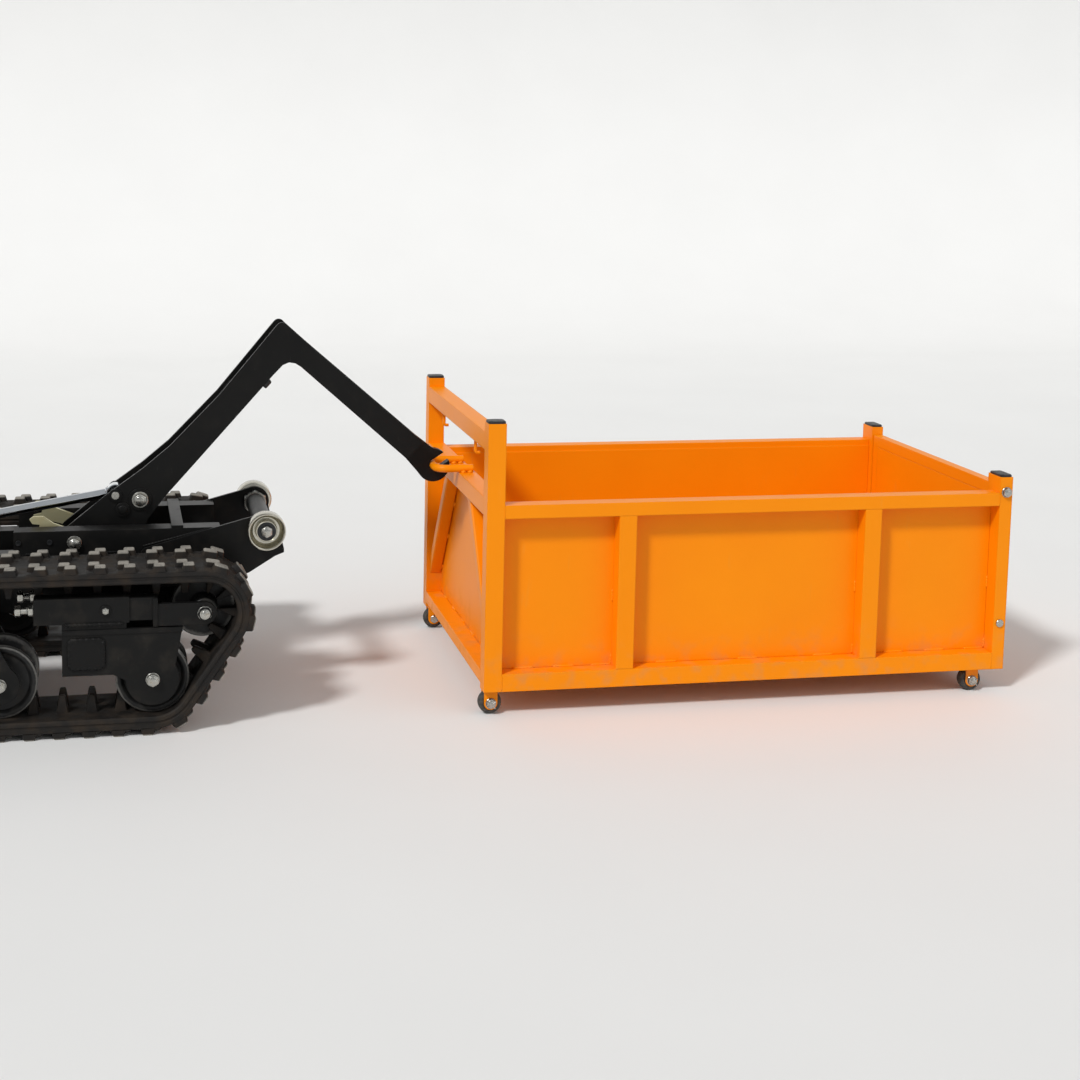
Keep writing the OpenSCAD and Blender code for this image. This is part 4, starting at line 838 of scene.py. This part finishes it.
moulded = [cushion((-1.394, -0.095, 0.6105), (-1.212, 0.095, 0.6725), 7, 36, 96)]
line = np.linspace(0, 2 * np.pi + 0.01, 97)
way = np.stack([np.cos(line), np.sin(line)], -1)
way /= (np.abs(way) ** 7).sum(-1, keepdims=True) ** (1 / 7)
parting = np.concatenate([(engine_x, 0) + way * (0.0906, 0.0946), np.full((97, 1), 0.6415)], -1)
moulded.append(tube(parting, 0.0016, 8))
for x in (-1.384, -1.222):
    for y in (-0.086, 0.086):
        low, high = (x - 0.006, y - 0.006, 0.497), (x + 0.006, y + 0.006, 0.618)
        moulded.append(cushion(low, high, 8, 14, 40))
tank_skin = finish("blow_moulded_orange", mottled(
    colours=((0.80, 0.180, 0.006), (0.88, 0.225, 0.008)), cloud=(14.0, 4.0), grain=(700.0, 3.0),
    bump=(0.1, 0.0004), rough=(0.38, 0.12, 0)))
put("tank_moulding", moulded, tank_skin, "chassis", "fuel_tank")
turn = np.linspace(0, 2 * np.pi, 144, endpoint=False)
knurl, none = 0.029 + 0.0009 * np.sign(np.sin(turn * 24)), 0 * turn
rows = [(none, 0.671), (knurl, 0.671), (knurl, 0.686), (knurl - 0.0025, 0.6895), (none, 0.6908)]
points = [np.stack([r * np.cos(turn) + engine_x, r * np.sin(turn), none + z], -1) for r, z in rows]
put("fuel_cap", [(np.concatenate(points), quads(len(rows), 144, True))], plastic, "chassis")

# Hydraulic tank: folded and welded steel behind the arm, painted with the chassis.
# A breather cap closes the filler neck, and a sight glass sits low on its side.
walls = [cushion((-1.178, -0.150, 0.347), (-1.073, 0.150, 0.577), 24, 48, 96)]
for y in (-0.1485, 0.1485):
    for z in (0.40, 0.47, 0.54):
        walls.append(stitch((-1.0745, y, z - 0.02), (-1.0745, y, z + 0.02), 0.0026))
put("oil_tank", walls, black, "chassis", "hydraulic_tank")
neck = [(0, -2), (22.5, -2), (22.5, 6), (25.8, 6.5), (26, 8.5), (26, 18.5), (24, 21.2), (12, 22),
        (0, 22)]
glass = [(0, 0), (13, 0), (13, 3), (11.5, 4.2), (8, 4.2), (7.5, 3), (0, 3.2)]
put("oil_cap", [raised(lathe(origin, neck, 64), (-1.1255, 0.09, 0.577)),
                lathe((-1.125, -0.150, 0.40), glass, 40, -1)], plastic, "chassis")


# Muffler: a pressed steel shell with a row of ribs across its outer face and a short upright pipe.
# Heat has browned and blued the bare steel.
shells = [cushion((-1.374, -0.164, 0.437), (-1.232, -0.108, 0.537), 7, 40, 96),
          lathe((engine_x, -0.109, 0.467), [(0, 0), (14, 0), (14, 10), (0, 10)], 40)]
bar = ((-0.1635, 0.462), (-0.1645, 0.475), (-0.1645, 0.500), (-0.1635, 0.513))
for x in np.linspace(-1.352, -1.254, 7):
    shells.append(tube([(x, y, z) for y, z in bar], 0.0042, 12))
pipe = [(8.5, 0), (11, 0), (11, 24.5), (10.5, 25.2), (8.8, 25.2), (8.5, 24), (8.5, 0)]
shells.append(raised(lathe(origin, pipe, 40), (-1.354, -0.132, 0.5365)))
tempered = finish("heated_steel", mottled(
    colours=((0.16, 0.125, 0.095), (0.115, 0.118, 0.135)), cloud=(12.0, 5.0, 0.35, 0.6),
    grain=(380.0, 5.0), bump=(0.2, 0.0004), rough=(0.38, 0, 0.2), metallic=0.85))
put("muffler_shells", shells, tempered, "chassis", "muffler")

# Deck bolts: four zinc-plated heads on washers, which hold the engine's feet down on the deck.
# Each is drawn along y and stood up on the plate.
feet = []
for x in (-1.411, -1.193):
    for y in (-0.080, 0.080):
        feet += [raised(disc(origin, 10.5, -1, 2), (x, y, deck_z)),
                 raised(hexagon(origin, 15, 1.8, 8.5), (x, y, deck_z))]
put("deck_bolts", feet, zinc, "chassis")


# Handlebars: two bent tubes that rise from flanges on the deck, with a crossbar that carries the
# valve. Each bend is an arc that touches the straight runs on either side of it.
foot_x, bar_y, grip_z, cross_x, cross_z = -1.453, 0.184, 0.960, -1.516, 0.7905
corner = np.array([[foot_x, 0.351], [-1.523, 0.840], [-1.573, grip_z], [-1.746, grip_z]])
bends = [corner[:1]]
for here, radius in ((1, 0.10), (2, 0.045)):
    come, leave = corner[here] - corner[here - 1], corner[here + 1] - corner[here]
    come, leave = come / np.linalg.norm(come), leave / np.linalg.norm(leave)
    angle = np.arccos(come @ leave)
    reach = radius * np.tan(angle / 2)
    middle = corner[here] - come * reach + radius * (leave - come * (come @ leave)) / np.sin(angle)
    spin = np.linspace(0, angle, 12)[:, None]
    normal = (corner[here] - come * reach - middle) / radius
    bends.append(middle + radius * (np.cos(spin) * normal + np.sin(spin) * come))
bends = np.concatenate(bends + [corner[3:]])
bars = []
flange = [(0, 0), (30, 0), (30, 6.5), (28.5, 8), (16.5, 8), (14.8, 11), (0, 11)]
for y in (-bar_y, bar_y):
    bars.append(tube(np.stack([bends[:, 0], np.full(len(bends), y), bends[:, 1]], -1), 0.014, 32))
    bars.append(raised(lathe(origin, flange, 48), (foot_x, y, deck_z)))
bars.append(tube([(cross_x, y, cross_z) for y in (-bar_y, -0.06, 0.06, bar_y)], 0.012, 32))
put("bent_handlebars", bars, black, "chassis", "handlebars")


# Hand grips: soft rubber sleeves with moulded rings, pushed over the bar ends.
# Hands have rubbed them grey in places.
along, pitch = np.linspace(0.004, 0.116, 225), 0.008
ribs = 0.0178 + 0.001 * np.sign(np.sin(along * 2 * np.pi / pitch)) - 0.0012 * (along < 0.006)
sleeve = [(0, 0), (16.5, 0), (18.5, 1.5), (19, 4), *zip(ribs * 1000, along * 1000), (19, 116.5),
          (19, 119), (18.2, 120), (14.1, 120), (14.1, 110), (0, 110)]
points, faces = lathe(origin, sleeve, 48)
points = np.stack([points[:, 1], -points[:, 0], points[:, 2]], -1)
sleeves = [(points + (-1.747, y, grip_z), faces) for y in (-bar_y, bar_y)]
soft = finish("grip_rubber", mottled(
    colours=((0.012, 0.012, 0.012), (0.034, 0.033, 0.031)), cloud=(70.0, 6.0, 0.5, 0.75),
    grain=(1100.0, 4.0), bump=(0.3, 0.0004), rough=(0.62, 0.15, 0)))
put("ribbed_grips", sleeves, soft, "chassis", "hand_grips")


# Valve fittings: flanged seams between the cast sections, caps over the spools at the back, and
# zinc-plated tie bolts and port plugs.
valve_back, valve_front = -1.5509, -1.4809
cap = [(0, -1), (16.5, -1), (16.5, 4), (12.5, 6), (12.5, 15), (10.5, 17.5), (0, 17.5)]
seamed, plugs = [], []
for y in (-0.028, 0.028):
    seamed.append(cushion((-1.5516, y - 0.0022, 0.8018), (-1.4802, y + 0.0022, 0.8592), 14, 18, 48))
    seamed.append(aimed(lathe(origin, cap, 40), (valve_back, 1.8 * y, 0.832)))
    for z in (0.8155, 0.844):
        port = (valve_front, 1.95 * y, z)
        plugs += [aimed(disc(origin, 10.5, -1, 1.8, -1), port),
                  aimed(hexagon(origin, 16, 1.6, 7.5, -1), port)]
for side in (-1, 1):
    for x in (-1.5385, -1.4935):
        for z in (0.814, 0.847):
            plugs += [disc((x, 0, z), 8, 84, 86.4, side),
                      hexagon((x, 0, z), 12, 86.2, 91.5, side)]
put("valve_sections", seamed, aluminium, "chassis")
put("valve_plugs", plugs, zinc, "chassis")


# Control levers: a sprung lever for the lift and a short one for the throttle, each a bright
# steel rod with a plastic ball pressed on. The ball's colour begins where the rod ends.
def knobbed(colour, foot):
    def finish_of(start, place):
        ball = start.above(start.height(place), foot - 0.0005, foot + 0.0005)
        scuff = start.noise(place, 160.0, 6.0)
        paint = start.tint(scuff, colour, tuple(0.5 * part + 0.02 for part in colour))
        return {"Base Color": start.tint(ball, (0.55, 0.55, 0.54), paint), "Metallic": 1 - ball,
                "Roughness": 0.26 + scuff * 0.16}
    return finish_of


coat(finish("lift_lever_and_ball", knobbed((0.012, 0.012, 0.012), 1.0045)), "lift_lever")
coat(finish("throttle_lever_and_ball", knobbed((0.42, 0.022, 0.016), 0.9495)), "throttle_lever")


# Studio: a pale floor that curves up into a plain backdrop behind the machine.
# The sweep is a flat run, a quarter circle and an upright wall, drawn out across the view.
def pale_paper(start, place):
    cloud = start.noise(place, 1.5, 3.0)
    return {"Base Color": start.tint(cloud, (0.78, 0.775, 0.76), (0.82, 0.815, 0.80)),
            "Roughness": 0.85}


near, bend_y, bend_r, wall_z, below = -14.0, 6.0, 3.0, 12.0, 0.0005
turn = np.linspace(0, np.pi / 2, 24)
depth = np.concatenate([[near, bend_y], bend_y + bend_r * np.sin(turn), [bend_y + bend_r]])
height = np.concatenate([[0.0, 0.0], bend_r - bend_r * np.cos(turn), [wall_z]]) - below
across, row = np.meshgrid(np.linspace(-16, 16, 5), np.arange(len(depth)))
sweep_points = np.stack([across, depth[row], height[row]], -1).reshape(-1, 3)
paper = finish("pale_paper", pale_paper)
floor = placed("floor", sweep_points, quads(len(depth), 5).tolist(), paper)

# Light: a wide soft key from the left and above, as from a big overhead window, a weaker fill from
# the right, and an even pale surround for the rest.
suns = (("key", (0.62, 0.55, -0.80), 2.15, 8), ("fill", (-0.70, 0.65, -0.60), 0.5, 60))
for name, way, strength, angle in suns:
    lamp = bpy.data.lights.new(name, "SUN")
    lamp.energy = strength
    lamp.angle = math.radians(angle)
    lit = bpy.data.objects.new(name, lamp)
    lit.rotation_euler = Vector(way).to_track_quat("-Z", "Y").to_euler()
    scene.collection.objects.link(lit)
world = bpy.data.worlds.new("surround")
world.use_nodes = True
glow = world.node_tree.nodes["Background"].inputs
glow["Color"].default_value = (0.86, 0.88, 0.90, 1)
glow["Strength"].default_value = 0.42
scene.world = world
